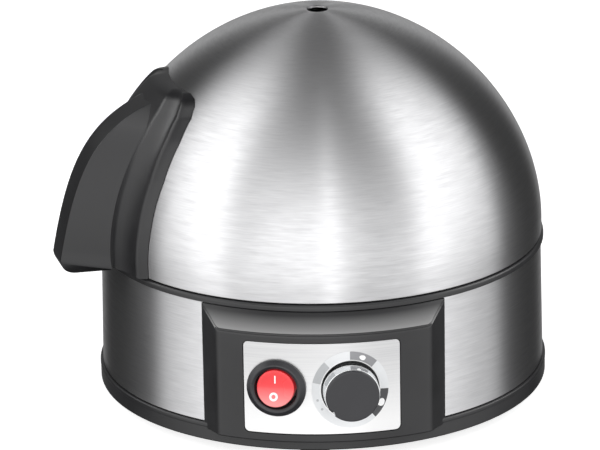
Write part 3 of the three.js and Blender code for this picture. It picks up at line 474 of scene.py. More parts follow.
def finish(name, **settings):
    """A material with its Principled shader's own sockets set, and its node helper."""
    material = bpy.data.materials.new(name)
    material.use_nodes = True
    shader = material.node_tree.nodes["Principled BSDF"]
    for key, value in settings.items():
        shader.inputs[key.replace("_", " ")].default_value = value
    return material, Nodes(material.node_tree), shader


def placed_group(nodes, group, **inputs):
    place = nodes.add("ShaderNodeTexCoord")
    return nodes.add("ShaderNodeGroup", {"node_tree": group}, Vector=place.outputs["Object"], **inputs)


def blend_colour(nodes, factor, dark, light):
    mix = nodes.add("ShaderNodeMix", {"data_type": "RGBA"})
    nodes.feed(mix, mix.inputs[0], factor)
    for socket, colour in ((mix.inputs[6], dark), (mix.inputs[7], light)):
        nodes.feed(mix, socket, colour if isinstance(colour, bpy.types.NodeSocket) else (*colour, 1))
    return mix.outputs[2]


def add_bump(nodes, shader, height, strength, distance):
    bump = nodes.add("ShaderNodeBump", Strength=strength, Distance=distance, Height=height)
    nodes.feed(shader, "Normal", bump.outputs["Normal"])


def round_brushed(name, dark, light, roughness, anisotropy, along=3.0, across=2200.0):
    """Steel brushed round the axis: fine lines in colour, gloss and relief."""
    material, nodes, shader = finish(name, Metallic=1.0, Anisotropic=anisotropy, Anisotropic_Rotation=0.25)
    brush = placed_group(nodes, ROUND_BRUSH, Along=along, Across=across)
    lines, streaks = brush.outputs["Lines"], brush.outputs["Streaks"]
    both = nodes.math("ADD", nodes.math("MULTIPLY", lines, 0.6), nodes.math("MULTIPLY", streaks, 0.4))
    tone = nodes.spread(both, 0.0, 1.0)
    nodes.feed(shader, "Base Color", blend_colour(nodes, tone, dark, light))
    nodes.feed(shader, "Roughness", nodes.spread(both, roughness + 0.05, roughness - 0.05))
    add_bump(nodes, shader, lines, 0.07, 0.02 * MM)
    tangent = nodes.add("ShaderNodeTangent", {"direction_type": "RADIAL", "axis": "Z"})
    nodes.feed(shader, "Tangent", tangent.outputs[0])
    return material


def moulded(name, colour, roughness, grain=0.25, fineness=2600.0, coat=0.0):
    """Moulded plastic or rubber: a stippled skin with slow patches of polish."""
    material, nodes, shader = finish(name, Coat_Weight=coat, Coat_Roughness=0.2)
    skin = placed_group(nodes, GRAIN, Fineness=fineness)
    patches = nodes.spread(skin.outputs["Patches"], 0.0, 1.0)
    worn = tuple(min(1.0, 1.22 * c + 0.004) for c in colour)
    nodes.feed(shader, "Base Color", blend_colour(nodes, patches, colour, worn))
    nodes.feed(shader, "Roughness", nodes.spread(skin.outputs["Patches"], roughness - 0.05, roughness + 0.05))
    add_bump(nodes, shader, skin.outputs["Height"], grain, 0.03 * MM)
    return material


def straight_brushed(name, dark, light, roughness, along=25.0, across=2600.0):
    """Aluminium brushed sideways, painted lighter towards the bottom of the plate as a painted highlight."""
    material, nodes, shader = finish(name, Metallic=1.0)
    brush = placed_group(nodes, STRAIGHT_BRUSH, Along=along, Across=across)
    tone = nodes.spread(brush.outputs["Lines"], 0.0, 1.0)
    sheet = blend_colour(nodes, tone, dark, light)
    # Painted highlight: the sheet is blended towards pale grey lower on the plate.
    painted_sheen = nodes.remap(height_of(nodes), PLATE_LOW.z + 4 * MM, PLATE_HIGH.z - 6 * MM, 1.0, 0.0)
    nodes.feed(shader, "Base Color", blend_colour(nodes, painted_sheen, sheet, (0.90, 0.90, 0.90)))
    nodes.feed(shader, "Roughness", nodes.spread(brush.outputs["Lines"], roughness + 0.04, roughness - 0.04))
    add_bump(nodes, shader, brush.outputs["Lines"], 0.1, 0.02 * MM)
    return material


def height_of(nodes):
    """Node output: the height of a point on the piece at rest."""
    place = nodes.add("ShaderNodeTexCoord")
    return nodes.add("ShaderNodeSeparateXYZ", Vector=place.outputs["Object"]).outputs["Z"]


def sloped_top():
    """The housing's sloped top: painted shade near its upper edge and a painted highlight towards its lower
    edge.
    """
    material, nodes, shader = finish("slope_plastic", IOR=1.5)
    skin = placed_group(nodes, GRAIN, Fineness=2600.0)
    # Painted light: near black at the top of the slope, mid grey at its foot, for shade under the ring and
    # light on the lower edge.
    painted_highlight = nodes.remap(height_of(nodes), HOUSING_SLOPE_START + 0.3 * MM, HOUSING_TOP - 1.2 * MM, 1.0, 0.0)
    nodes.feed(shader, "Base Color", blend_colour(nodes, painted_highlight, (0.012, 0.012, 0.013), (0.21, 0.21, 0.21)))
    nodes.feed(shader, "Roughness", nodes.spread(skin.outputs["Patches"], 0.36, 0.46))
    add_bump(nodes, shader, skin.outputs["Height"], 0.15, 0.03 * MM)
    return material


def plain_metal(name, dark, light, roughness):
    """Plated or cast metal with slow patches."""
    material, nodes, shader = finish(name, Metallic=1.0)
    skin = placed_group(nodes, GRAIN, Fineness=900.0)
    nodes.feed(shader, "Base Color", blend_colour(nodes, skin.outputs["Patches"], dark, light))
    nodes.feed(shader, "Roughness", nodes.spread(skin.outputs["Height"], roughness - 0.03, roughness + 0.05))
    return material


def red_lens():
    """Clear red plastic lit by the lamp behind it; its lower half is painted paler as a painted reflection.
    """
    material, nodes, shader = finish("red_lens", IOR=1.49, Coat_Weight=0.4, Coat_Roughness=0.12,
                                     Emission_Strength=0.22)
    skin = placed_group(nodes, GRAIN, Fineness=1200.0)
    patches = skin.outputs["Patches"]
    # Painted reflection: colour and glow turn pale pink towards the lower half.
    painted_reflection = nodes.remap(height_of(nodes), SWITCH.height - 5 * MM, SWITCH.height + 1 * MM, 1.0, 0.0)
    red = blend_colour(nodes, patches, (0.62, 0.012, 0.018), (0.78, 0.03, 0.035))
    glow = blend_colour(nodes, patches, (0.7, 0.02, 0.03), (0.95, 0.06, 0.07))
    nodes.feed(shader, "Base Color", blend_colour(nodes, painted_reflection, red, (0.72, 0.16, 0.16)))
    nodes.feed(shader, "Emission Color", blend_colour(nodes, painted_reflection, glow, (0.9, 0.42, 0.42)))
    nodes.feed(shader, "Roughness", nodes.spread(patches, 0.22, 0.32))
    add_bump(nodes, shader, skin.outputs["Height"], 0.05, 0.02 * MM)
    return material


DOME_STEEL = round_brushed("dome_steel", (0.60, 0.60, 0.61), (0.74, 0.74, 0.75), 0.36, 0.88, 7.0, 3200.0)
BAND_STEEL = round_brushed("band_steel", (0.55, 0.55, 0.56), (0.69, 0.69, 0.70), 0.34, 0.88, 7.0, 3200.0)
PLATE_ALUMINIUM = straight_brushed("plate_aluminium", (0.60, 0.60, 0.61), (0.70, 0.70, 0.70), 0.36)
BLACK_PLASTIC = moulded("black_plastic", (0.015, 0.015, 0.016), 0.36, grain=0.15)
HANDLE_PLASTIC = moulded("handle_plastic", (0.009, 0.009, 0.010), 0.40, grain=0.15)
GLOSS_PLASTIC = moulded("bezel_plastic", (0.018, 0.018, 0.021), 0.30, grain=0.08)
RUBBER = moulded("foot_rubber", (0.022, 0.022, 0.022), 0.7, grain=0.5, fineness=1600.0)
SILICONE = moulded("seal_silicone", (0.32, 0.33, 0.34), 0.55)
IVORY = moulded("ivory_plastic", (0.68, 0.65, 0.56), 0.45)
BOARD_GREEN = moulded("board_green", (0.03, 0.17, 0.07), 0.4)
PRINT_LIGHT = moulded("print_light", (0.66, 0.67, 0.68), 0.5, grain=0.05)
PRINT_MID = moulded("print_mid", (0.24, 0.24, 0.25), 0.5, grain=0.05)
PRINT_SOFT = moulded("print_soft", (0.42, 0.43, 0.44), 0.5, grain=0.05)
PRINT_DARK = moulded("print_dark", (0.055, 0.055, 0.058), 0.5, grain=0.05)
PRINT_WHITE = moulded("print_white", (0.86, 0.86, 0.86), 0.5, grain=0.05)
CHROME = plain_metal("chrome", (0.78, 0.79, 0.80), (0.88, 0.89, 0.90), 0.12)
ZINC = plain_metal("zinc", (0.42, 0.43, 0.44), (0.58, 0.59, 0.60), 0.32)
BRASS = plain_metal("brass", (0.55, 0.38, 0.14), (0.72, 0.54, 0.24), 0.3)
COATED = moulded("dish_coat", (0.06, 0.06, 0.065), 0.34, grain=0.35, fineness=1400.0)
TRAY_STEEL = round_brushed("tray_steel", (0.55, 0.55, 0.56), (0.72, 0.72, 0.73), 0.28, 0.5)
LENS = red_lens()
SLOPE_PAINTED_LIGHT = sloped_top()


# ---- Base ----


def band_radius(z):
    return BAND_TOP_RADIUS + (BAND_LOW_RADIUS - BAND_TOP_RADIUS) * (BAND_TOP - z) / (BAND_TOP - BAND_BOTTOM)


def gland_cutter():
    """A bar through the band and shell at the back, where the gland goes."""
    cutter = rod("gland_cutter", 6.3 * MM, -12 * MM, 12 * MM, 64)
    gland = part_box("cord_gland")
    level = (gland[0].z + gland[1].z) / 2
    place = Matrix.Translation((0, BAND_TOP_RADIUS, level))
    return moved(cutter, place @ Matrix.Rotation(math.pi / 2, 4, "X"))


def make_band():
    sheet = BAND_SHEET
    outline = rounded([
        (BAND_LOW_RADIUS - sheet, BAND_BOTTOM, 0), (BAND_LOW_RADIUS, BAND_BOTTOM, 0.15 * MM),
        (BAND_TOP_RADIUS, BAND_TOP, 0.15 * MM), (BAND_TOP_RADIUS - sheet, BAND_TOP, 0)], 3)
    band = turned("band", outline, 260, BAND_GAP, 2 * math.pi - BAND_GAP)
    ride(tidy(carve(band, gland_cutter())), "base", "brushed_steel", BAND_STEEL, "steel_band")


def make_shell():
    """The black body: the ring above the band, the well for the tray and the ledge for the water dish."""
    wall = 2.2 * MM
    outer = BAND_TOP_RADIUS - BAND_SHEET - 0.3 * MM
    inner = outer - wall
    well = BAND_TOP_RADIUS - 8.8 * MM
    ledge = RING_TOP - 4.6 * MM
    ledge_inner = well - 4.5 * MM
    bottom = low("base_shell").z
    outline = rounded([
        (inner, bottom, 0.3 * MM), (outer + 0.8 * MM, bottom, 0.3 * MM), (outer + 0.8 * MM, BAND_BOTTOM),
        (outer, RING_BOTTOM), (RING_RADIUS, RING_BOTTOM, 0.25 * MM), (RING_RADIUS, RING_TOP, 1.1 * MM),
        (well, RING_TOP, 0.4 * MM), (well, ledge, 0.3 * MM), (ledge_inner, ledge, 0.4 * MM),
        (ledge_inner, ledge - wall, 0.4 * MM), (inner, ledge - 2 * wall, 0.5 * MM)])
    shell = turned("shell", outline)
    near, far, foot, head = 78 * MM, 92 * MM, 11 * MM, 46 * MM
    opening = rounded([(near, foot), (far, foot), (far, head), (near, head)])
    window = turned("window", opening, 24, -math.radians(20), math.radians(20))
    carve(shell, window)
    carve(shell, gland_cutter())
    ride(tidy(shell), "base", "black_plastic", BLACK_PLASTIC, "base_shell")


def make_cover():
    """The floor with the rim at the foot of the band, and a small lip along its top."""
    inner = RIM_RADIUS - 1.8 * MM
    pad = 24 * MM
    outline = rounded([
        (0, 0), (pad, 0, 0.25 * MM), (pad + 0.4 * MM, 0.6 * MM, 0.1 * MM),
        (RIM_RADIUS - 3 * MM, 0.6 * MM, 0.4 * MM), (RIM_RADIUS - 2.2 * MM, 0, 0.5 * MM),
        (RIM_RADIUS - 0.1 * MM, 0, 0.6 * MM), (RIM_RADIUS - 0.1 * MM, 5.5 * MM, 0.3 * MM),
        (RIM_RADIUS, 5.8 * MM, 0.2 * MM), (RIM_RADIUS, RIM_TOP, 0.6 * MM),
        (inner, RIM_TOP, 0.3 * MM), (inner, 2.6 * MM, 0.5 * MM), (0, 2.6 * MM)])
    cover = turned("cover", outline)
    for angle in range(-40, 41, 20):
        opening = round_rectangle(-1.5 * MM, 1.5 * MM, 40 * MM, 62 * MM, 1.45 * MM)
        slot = raised("slot", opening, -2 * MM, 5 * MM)
        carve(cover, moved(slot, Matrix.Rotation(math.radians(angle), 4, "Z")))
    ride(tidy(cover), "base", "black_plastic", BLACK_PLASTIC, "bottom_cover")


def make_feet():
    for i in range(1, 4):
        node = f"base_foot_{i}"
        lowest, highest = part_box(node)
        centre = (lowest + highest) / 2
        radius = (highest.x - lowest.x) / 2
        drop = lowest.z
        outline = rounded([
            (0, drop + 0.8 * MM), (radius - 4 * MM, drop + 0.8 * MM, 0.3 * MM),
            (radius - 3.6 * MM, drop, 0.3 * MM), (radius, drop, 1.4 * MM), (radius, 0.3 * MM, 0.4 * MM),
            (2.6 * MM, 0.3 * MM, 0.2 * MM), (2.6 * MM, 2.9 * MM, 0), (3.5 * MM, 2.9 * MM, 0.1 * MM),
            (2.0 * MM, highest.z, 0.3 * MM), (0, highest.z)])
        foot = turned(f"foot_{i}", outline, SMALL_SEGMENTS)
        moved(foot, Matrix.Translation((centre.x, centre.y, 0)))
        ride(foot, "base", "rubber", RUBBER, node)


# ---- Control housing ----

HOUSING_GROOVE = [  # under the sloped top: share of the groove's depth, drop in millimetres
    (0, 1.7), (0.10, 1.25), (0.35, 0.95), (0.8, 0.8), (1, 0.55), (1, 0.25), (0.7, 0.02)]


def housing_radius_at(angle, inset=0.0):
    """The housing's outline seen from above: its distance from the axis at an angle from the front."""
    root = Vector((math.sin(HOUSING_FOOT_ANGLE), math.cos(HOUSING_FOOT_ANGLE))) * BAND_LOW_RADIUS
    face = Vector((math.sin(HOUSING_FACE_ANGLE), math.cos(HOUSING_FACE_ANGLE))) * HOUSING_RADIUS
    along = (face - root).normalized()
    inward = Vector((-along.y, along.x)) if along.y > 0 else Vector((along.y, -along.x))
    front = HOUSING_RADIUS - inset
    corner = HOUSING_CORNER
    start = root + inward * (corner + inset)
    b = start.dot(along)
    centre = start + along * (-b + math.sqrt(b * b - start.length_squared + (front - corner) ** 2))
    ray = Vector((math.sin(abs(angle)), math.cos(abs(angle))))
    if abs(angle) <= math.atan2(centre.x, centre.y):
        return front
    b = ray.dot(centre)
    spread = b * b - centre.length_squared + corner ** 2
    if spread > 0:
        hit = ray * (b + math.sqrt(spread))
        if (hit - centre).dot(along) > 0:
            return hit.length
    side = root + inward * inset
    return side.dot(inward) / ray.dot(inward)


def slope_level(radius):
    """Height of the housing's sloped top at a distance from the axis."""
    rise = (HOUSING_TOP - HOUSING_SLOPE_START) / (HOUSING_RADIUS - HOUSING_SLOPE_RADIUS)
    return HOUSING_SLOPE_START + rise * (HOUSING_RADIUS - radius)


def housing_section(angle):
    """The housing's outline in radius and height at an angle from the front."""
    radius = housing_radius_at(angle)
    top = slope_level(radius)
    foot = min(RIM_RADIUS + 0.3 * MM, radius - 0.25 * MM)
    edge = min(0.7 * MM, (radius - foot) * 0.8)
    inner = min(HOUSING_SLOPE_RADIUS, radius - 0.1 * MM)
    groove = min(0.55 * MM, (radius - inner) * 0.3)
    back_low = min(band_radius(BAND_BOTTOM) + 0.3 * MM, foot - 0.05 * MM)
    points = [(foot, HOUSING_BOTTOM)]
    for i in range(5):
        turn = math.pi / 2 * i / 4
        points.append((radius - edge + edge * math.sin(turn), HOUSING_BOTTOM + edge - edge * math.cos(turn)))
    points += [(radius, HOUSING_BOTTOM + (top - HOUSING_BOTTOM) * k) for k in (0.25, 0.5, 0.75)]
    points += [(radius - share * groove, top - drop * MM) for share, drop in HOUSING_GROOVE]
    for k in (0.12, 0.4, 0.7, 0.93):
        r = radius - groove + (inner - radius + groove) * k
        points.append((r, slope_level(r)))
    points += [(inner - 0.05 * MM, HOUSING_TOP), (BAND_TOP_RADIUS + 0.3 * MM, HOUSING_TOP),
               (back_low, BAND_BOTTOM + 0.3 * MM), (foot, BAND_BOTTOM + 0.2 * MM)]
    return points


def make_housing():
    limit = HOUSING_FOOT_ANGLE - math.radians(0.12)
    count = 150
    verts, size = [], 0
    for i in range(count + 1):
        angle = limit * math.sin(math.pi / 2 * (2 * i / count - 1))
        section = housing_section(angle)
        size = len(section)
        verts += [around(r, angle, z) for r, z in section]
    faces = []
    for i in range(count):
        faces += quads_between(i * size, (i + 1) * size, size)
    faces += [tuple(range(size)), tuple(reversed(range(count * size, count * size + size)))]
    housing = tidy(mesh_object("housing", verts, faces))
    carve(housing, housing_room())
    gap = 0.3 * MM
    pocket = raised("pocket", plate_outline(gap), -1.2 * MM, 3 * MM)
    carve(housing, curved(pocket, HOUSING_RADIUS))
    carve(housing, switch_cutter())
    ride(tidy(housing, 30), "base", "black_plastic", BLACK_PLASTIC, "panel_housing")
    housing.data.materials.append(SLOPE_PAINTED_LIGHT)
    for face in housing.data.polygons:
        if face.normal.z > 0.3 and HOUSING_SLOPE_START - 0.2 * MM < face.center.z < HOUSING_TOP - 0.02 * MM:
            face.material_index = 1


def housing_room():
    """The hollow behind the housing's walls, open towards the band."""
    limit = math.radians(24)
    front = HOUSING_RADIUS - 3.4 * MM
    back, foot, head = 80 * MM, 8.6 * MM, 50 * MM
    outline = [(back, foot), (front, foot), (front, 47 * MM), (front - 2.4 * MM, head), (back, head)]
    return turned("room", [Vector(p) for p in outline], 40, -limit, limit)


def plate_outline(grow):
    return round_rectangle(PLATE_LEFT - grow, PLATE_RIGHT + grow, PLATE_LOW.z - grow, PLATE_HIGH.z + grow,
                           PLATE_CORNER + grow)


def switch_cutter():
    """A bar through the housing's front, where the switch's barrel goes."""
    return moved(rod("switch_cutter", BARREL_HOLE, 80 * MM, 100 * MM, SMALL_SEGMENTS), SWITCH.matrix())


def make_plate():
    """The brushed plate, with its holes for the switch and the dial."""
    plate = raised("plate", plate_outline(0), -PLATE_SHEET, 0, 0.12 * MM)
    for station, radii in ((SWITCH, (BARREL_HOLE, BARREL_HOLE)), (DIAL, DIAL_WINDOW)):
        opening = ellipse(station.angle * PLATE_FACE, station.height, *radii)
        carve(plate, raised("hole", opening, -5 * MM, 5 * MM))
    ride(curved(plate, PLATE_FACE), "base", "brushed_aluminium", PLATE_ALUMINIUM, "panel_plate")


DIAL_WINDOW = (11.3 * MM, 11.8 * MM)
SCALE_OUTER = (14.9 * MM, 15.6 * MM)
PRINT_THICKNESS = 0.04 * MM


def scale_sector(name, first, last, outer_grow, finish_used):
    """A printed sector of the dial's ring, between two angles clockwise from the top, in degrees."""
    steps = max(4, round((last - first) / 2))
    outline = []
    for i in range(steps + 1):
        outline.append(ring_point(first + (last - first) * i / steps, SCALE_OUTER, outer_grow))
    for i in range(steps, -1, -1):
        outline.append(ring_point(first + (last - first) * i / steps, DIAL_WINDOW, 0.35 * MM))
    print_on_plate(name, outline, 0.02 * MM, finish_used)


def ring_point(angle, radii, grow):
    turn = math.radians(angle)
    x = DIAL.angle * PLATE_FACE + (radii[0] + grow) * math.sin(turn)
    y = DIAL.height + (radii[1] + grow) * math.cos(turn)
    return Vector((x, y))


def print_on_plate(name, outline, lift, finish_used):
    ink = raised(name, outline, lift, lift + PRINT_THICKNESS)
    ride(curved(ink, PLATE_FACE, 1.2 * MM), "base", "brushed_aluminium", finish_used)


def make_scale():
    """The egg-hardness ring round the dial: sectors, egg marks and two dots."""
    sectors = [
        ("start", 140.5, 281.5, PRINT_LIGHT), ("soft_low", 282, 318, PRINT_SOFT),
        ("soft_high", 318.5, 359.5, PRINT_LIGHT), ("medium", 0, 44.5, PRINT_MID),
        ("between", 45, 92, PRINT_LIGHT), ("hard", 92.5, 140, PRINT_DARK)]
    for name, first, last, ink in sectors:
        outer_grow = 0 if ink is PRINT_LIGHT else -0.1 * MM
        scale_sector(f"scale_{name}", first, last, outer_grow, ink)
    mark_lift = 0.07 * MM
    egg_mark("mark_medium", 22, (1.25 * MM, 0.95 * MM), mark_lift)
    egg_mark("mark_hard", 117, (1.6 * MM, 1.35 * MM), mark_lift)
    for i, angle in enumerate((236, 253)):
        centre = ring_point(angle, DIAL_WINDOW, 1.9 * MM)
        print_on_plate(f"mark_dot_{i + 1}", ellipse(centre.x, centre.y, 0.5 * MM, 0.5 * MM, 24),
                       mark_lift, PRINT_SOFT)


def egg_mark(name, angle, size, lift):
    centre = ring_point(angle, DIAL_WINDOW, 1.9 * MM)
    turn = math.radians(-angle)
    outline = []
    for i in range(40):
        t = 2 * math.pi * i / 40
        x = size[0] * math.cos(t) * (1 - 0.16 * math.cos(t))
        y = size[1] * math.sin(t)
        outline.append(Vector((centre.x + x * math.cos(turn) - y * math.sin(turn),
                               centre.y + x * math.sin(turn) + y * math.cos(turn))))
    print_on_plate(name, outline, lift, PRINT_WHITE)


# ---- Switch ----

BARREL_RADIUS = 10.1 * MM
BEZEL_RADIUS = 11.5 * MM
SWITCH_OPENING = 8.3 * MM
ROCKER_RADIUS = 7.25 * MM
ROCKER_TILT = 10  # degrees
ROCKER_VALLEY = 3.2 * MM


def make_bezel():
    face = PLATE_FACE + 0.3 * MM
    back = PLATE_FACE - 22 * MM
    floor = face - 8 * MM
    outline = rounded([
        (0, back), (BARREL_RADIUS, back, 0.4 * MM), (BARREL_RADIUS, face - 0.9 * MM),
        (BEZEL_RADIUS, face - 0.75 * MM, 0.1 * MM), (BEZEL_RADIUS, face + 0.75 * MM, 0.5 * MM),
        (9.5 * MM, face + 2.1 * MM, 0.9 * MM), (SWITCH_OPENING, face + 1.5 * MM, 0.25 * MM),
        (SWITCH_OPENING, floor, 0), (0, floor)])
    bezel = moved(turned("bezel", outline, SMALL_SEGMENTS), SWITCH.matrix())
    ride(bezel, "base", "black_plastic", GLOSS_PLASTIC, "switch_body")


def rocker_matrix():
    """Puts a level rocker, made about its pivot, at its rest tilt: the upper half pressed in."""
    pressed = Matrix.Rotation(math.radians(ROCKER_TILT), 4, "X").inverted()
    return Matrix.Translation(SWITCH.pivot) @ SWITCH.turn() @ pressed


def rocker_height(y):
    """Front surface of the rocker above its pivot: two faces with a soft valley between them."""
    slope = math.tan(math.radians(ROCKER_TILT))
    soft = 1.2 * MM
    return ROCKER_VALLEY + slope * (math.sqrt(y * y + soft * soft) - soft)


def make_rocker():
    """A round lens whose front follows the two pressed faces, with its edge rounded."""
    edge = 0.45 * MM
    rings = [(0.0, 0.0)]
    rings += [(ROCKER_RADIUS * k, 0.0) for k in (0.2, 0.4, 0.6, 0.8)]
    for i in range(5):
        turn = math.pi / 2 * i / 4
        rings.append((ROCKER_RADIUS - edge + edge * math.sin(turn), edge * (1 - math.cos(turn))))
    verts = [(0, 0, rocker_height(0))]
    for radius, drop in rings[1:]:
        for i in range(SMALL_SEGMENTS):
            angle = 2 * math.pi * i / SMALL_SEGMENTS
            x, y = radius * math.cos(angle), radius * math.sin(angle)
            verts.append((x, y, rocker_height(y) - drop))
    for depth, squeeze in ((-0.5, 1.0), (-3.2, 0.55)):
        for i in range(SMALL_SEGMENTS):
            angle = 2 * math.pi * i / SMALL_SEGMENTS
            x, y = ROCKER_RADIUS * math.cos(angle), ROCKER_RADIUS * squeeze * math.sin(angle)
            verts.append((x, y, depth * MM))
    faces = [(0, 1 + i, 1 + (i + 1) % SMALL_SEGMENTS) for i in range(SMALL_SEGMENTS)]
    loops = (len(verts) - 1) // SMALL_SEGMENTS
    for ring in range(loops - 1):
        first = 1 + ring * SMALL_SEGMENTS
        faces += quads_between(first, first + SMALL_SEGMENTS, SMALL_SEGMENTS)
    last = 1 + (loops - 1) * SMALL_SEGMENTS
    faces.append(tuple(range(last, last + SMALL_SEGMENTS)))
    lens = moved(tidy(mesh_object("rocker_lens", verts, faces), 50), rocker_matrix())
    ride(lens, "rocker", "red_lens", LENS, "switch_rocker")
    rocker_mark("rocker_mark_on", round_rectangle(-0.42 * MM, 0.12 * MM, 1.9 * MM, 5.0 * MM, 0.1 * MM))
    rocker_mark("rocker_mark_off", ellipse(-0.6 * MM, -3.3 * MM, 1.67 * MM, 1.67 * MM, 64),
                ellipse(-0.6 * MM, -3.3 * MM, 0.8 * MM, 0.8 * MM, 64))


def rocker_mark(name, outline, hole=None):
    """A printed symbol that follows the rocker's front."""
    mark = raised(name, outline, -0.2 * MM, 0.05 * MM)
    if hole:
        carve(mark, raised("hole", hole, -1 * MM, 1 * MM))
        tidy(mark)
    for vertex in mark.data.vertices:
        vertex.co.z += rocker_height(vertex.co.y)
    ride(moved(mark, rocker_matrix()), "rocker", "red_lens", PRINT_WHITE)


# ---- Dial ----

DIAL_RADIUS = 10.3 * MM
DIAL_FACE = PLATE_FACE + 7.7 * MM
SLEEVE_RADIUS = 10.85 * MM
POINTER_ANGLE = math.radians(231)
POCKET_FLOOR = HOUSING_RADIUS - 1.2 * MM


def pointer_cutter():
    """A bar that cuts the pointer notch into the dial's edge."""
    cutter = rod("pointer_cutter", 2.3 * MM, PLATE_FACE - 3 * MM, DIAL_FACE + 2 * MM, 48)
    offset = DIAL_RADIUS + 1.3 * MM
    place = Matrix.Translation((offset * math.sin(POINTER_ANGLE), offset * math.cos(POINTER_ANGLE), 0))
    return moved(cutter, DIAL.matrix() @ place)


def make_dial():
    """The black cap with its pointer notch, and the bright sleeve around it."""
    skirt = 9.9 * MM
    back = PLATE_FACE - 0.1 * MM
    lip = DIAL_FACE - 1 * MM
    cap = turned("dial_cap", rounded([
        (0, DIAL_FACE), (DIAL_RADIUS - 1.6 * MM, DIAL_FACE, 0), (DIAL_RADIUS, DIAL_FACE, 0.55 * MM),
        (DIAL_RADIUS, lip, 0.15 * MM), (skirt, lip), (skirt, back, 0.2 * MM),
        (skirt - 1.2 * MM, back, 0.2 * MM), (skirt - 1.2 * MM, lip + 0.2 * MM), (0, lip + 0.2 * MM)]),
        SMALL_SEGMENTS)
    moved(cap, DIAL.matrix())
    carve(cap, pointer_cutter())
    ride(tidy(cap), "dial", "black_plastic", GLOSS_PLASTIC, "dial_knob")
    front = lip - 0.3 * MM
    sleeve = turned("dial_sleeve", rounded([
        (skirt + 0.3 * MM, POCKET_FLOOR + 0.6 * MM), (SLEEVE_RADIUS, POCKET_FLOOR + 0.6 * MM, 0.1 * MM),
        (SLEEVE_RADIUS - 0.25 * MM, front, 0.2 * MM), (skirt + 0.3 * MM, front, 0.1 * MM)]), SMALL_SEGMENTS)
    moved(sleeve, DIAL.matrix())
    carve(sleeve, pointer_cutter())
    ride(tidy(sleeve), "dial", "chrome", CHROME, "knob_sleeve")


# ---- Lid ----

# The steam hole takes the very top off the dome, so the full rise is found from the hole's edge.
LID_RISE = (LID_TOP - LID_SPRING) / (1 - (STEAM_HOLE / LID_RADIUS) ** LID_FULLNESS) ** (1 / LID_FULLNESS)
DOME_EDGE = [(0.8, 0.3), (0.6, 0.05), (0.3, 0), (0.05, 0.2), (0, 0.6)]  # inward and up, in millimetres


def dome_point(share, offset=0.0):
    """A point (radius, height) on the dome's outline, share 0 at the spring line and 1 at the apex."""
    angle = math.pi / 2 * share
    power = 2 / LID_FULLNESS
    rise = LID_RISE + offset
    radius = (LID_RADIUS + offset) * math.cos(angle) ** power
    return Vector((radius, LID_SPRING + rise * math.sin(angle) ** power))


def dome_radius(z, offset=0.0):
    """The dome's radius at a height."""
    if z <= LID_SPRING:
        return LID_RADIUS + offset
    share = min(1.0, (z - LID_SPRING) / (LID_RISE + offset))
    return (LID_RADIUS + offset) * (1 - share ** LID_FULLNESS) ** (1 / LID_FULLNESS)


def make_dome():
    """The spun dome: a rolled lower edge, an even wall and a rounded steam hole."""
    steps = 96
    hole_share = 1 - 0.0005
    while dome_point(hole_share)[0] < STEAM_HOLE + 0.4 * MM:
        hole_share -= 0.0005
    outer = [dome_point(hole_share * i / steps) for i in range(steps + 1)]
    inner = [dome_point(hole_share * i / steps, -LID_SHEET) for i in range(steps + 1)]
    lip_top = outer[-1] + Vector((-0.4 * MM, -0.15 * MM))
    lip_low = inner[-1] + Vector((-0.4 * MM, 0.1 * MM))
    edge = [Vector((LID_RADIUS - inward * MM, LID_BOTTOM + up * MM)) for inward, up in DOME_EDGE]
    outline = edge + outer + [lip_top, lip_low] + inner[::-1]
    dome = turned("dome", outline, 288)
    ride(dome, "lid", "brushed_steel", DOME_STEEL, "lid_dome")


def handle_matrix():
    """From (sideways, out, up) about the handle's middle plane to the row frame."""
    outward = Vector((math.sin(HANDLE_AZIMUTH), -math.cos(HANDLE_AZIMUTH), 0))
    sideways = Vector((outward.y, -outward.x, 0))
    return Matrix((sideways, outward, Vector((0, 0, 1)))).transposed().to_4x4()


def bezier(a, b, c, d, steps):
    points = []
    for i in range(steps + 1):
        t = i / steps
        points.append(a * (1 - t) ** 3 + b * 3 * t * (1 - t) ** 2 + c * 3 * t * t * (1 - t) + d * t ** 3)
    return points


def fin_reach():
    """The spine of the fin, from its foot to the dome: (height above the lid's edge, distance), in mm."""
    drop = -5.6
    foot_spots = [(101.8, drop), (105.6, drop), (107.4, -3.4), (107.75, 0)]
    back_spots = [(107.75, 0), (100.05, 40.2), (90.75, 55.4), (59.7, 64.5)]
    foot = bezier(*[Vector(spot) for spot in foot_spots], 8)
    back = bezier(*[Vector(spot) for spot in back_spots], 48)
    return [(p.y, p.x) for p in foot + back[1:]]


def fin_section(height, reach_out):
    """The fin cut across: its sides flare from the narrow spine to the dome, and its foot rises there."""
    edge = 0.6
    half = HANDLE_WIDTH / 2 / MM
    root_half = 19 if height < 54 else 19 - 0.9 * (height - 54)
    root = dome_radius(LID_BOTTOM + height * MM, 0.9 * MM) / MM if height >= 0.3 else 89.9
    root = min(root, reach_out - 1.2)
    root_height = max(height, -1.5)
    half_section = [(half - edge, reach_out, height), (half - 0.3 * edge, reach_out - 0.3 * edge, height),
                    (half, reach_out - edge, height), (root_half, root, root_height)]
    return [(-x, y, z) for x, y, z in reversed(half_section)] + half_section


def make_fin():
    verts = []
    rows = fin_reach()
    for height, reach_out in rows:
        verts += [(x * MM, y * MM, LID_BOTTOM + z * MM) for x, y, z in fin_section(height, reach_out)]
    size = 8
    faces = [tuple(range(size))]
    for i in range(len(rows) - 1):
        faces += quads_between(i * size, (i + 1) * size, size)
    faces.append(tuple(reversed(range(len(verts) - size, len(verts)))))
    fin = moved(tidy(mesh_object("handle_fin", verts, faces), 40), handle_matrix())
    ride(fin, "lid", "black_plastic", HANDLE_PLASTIC, "lid_handle")


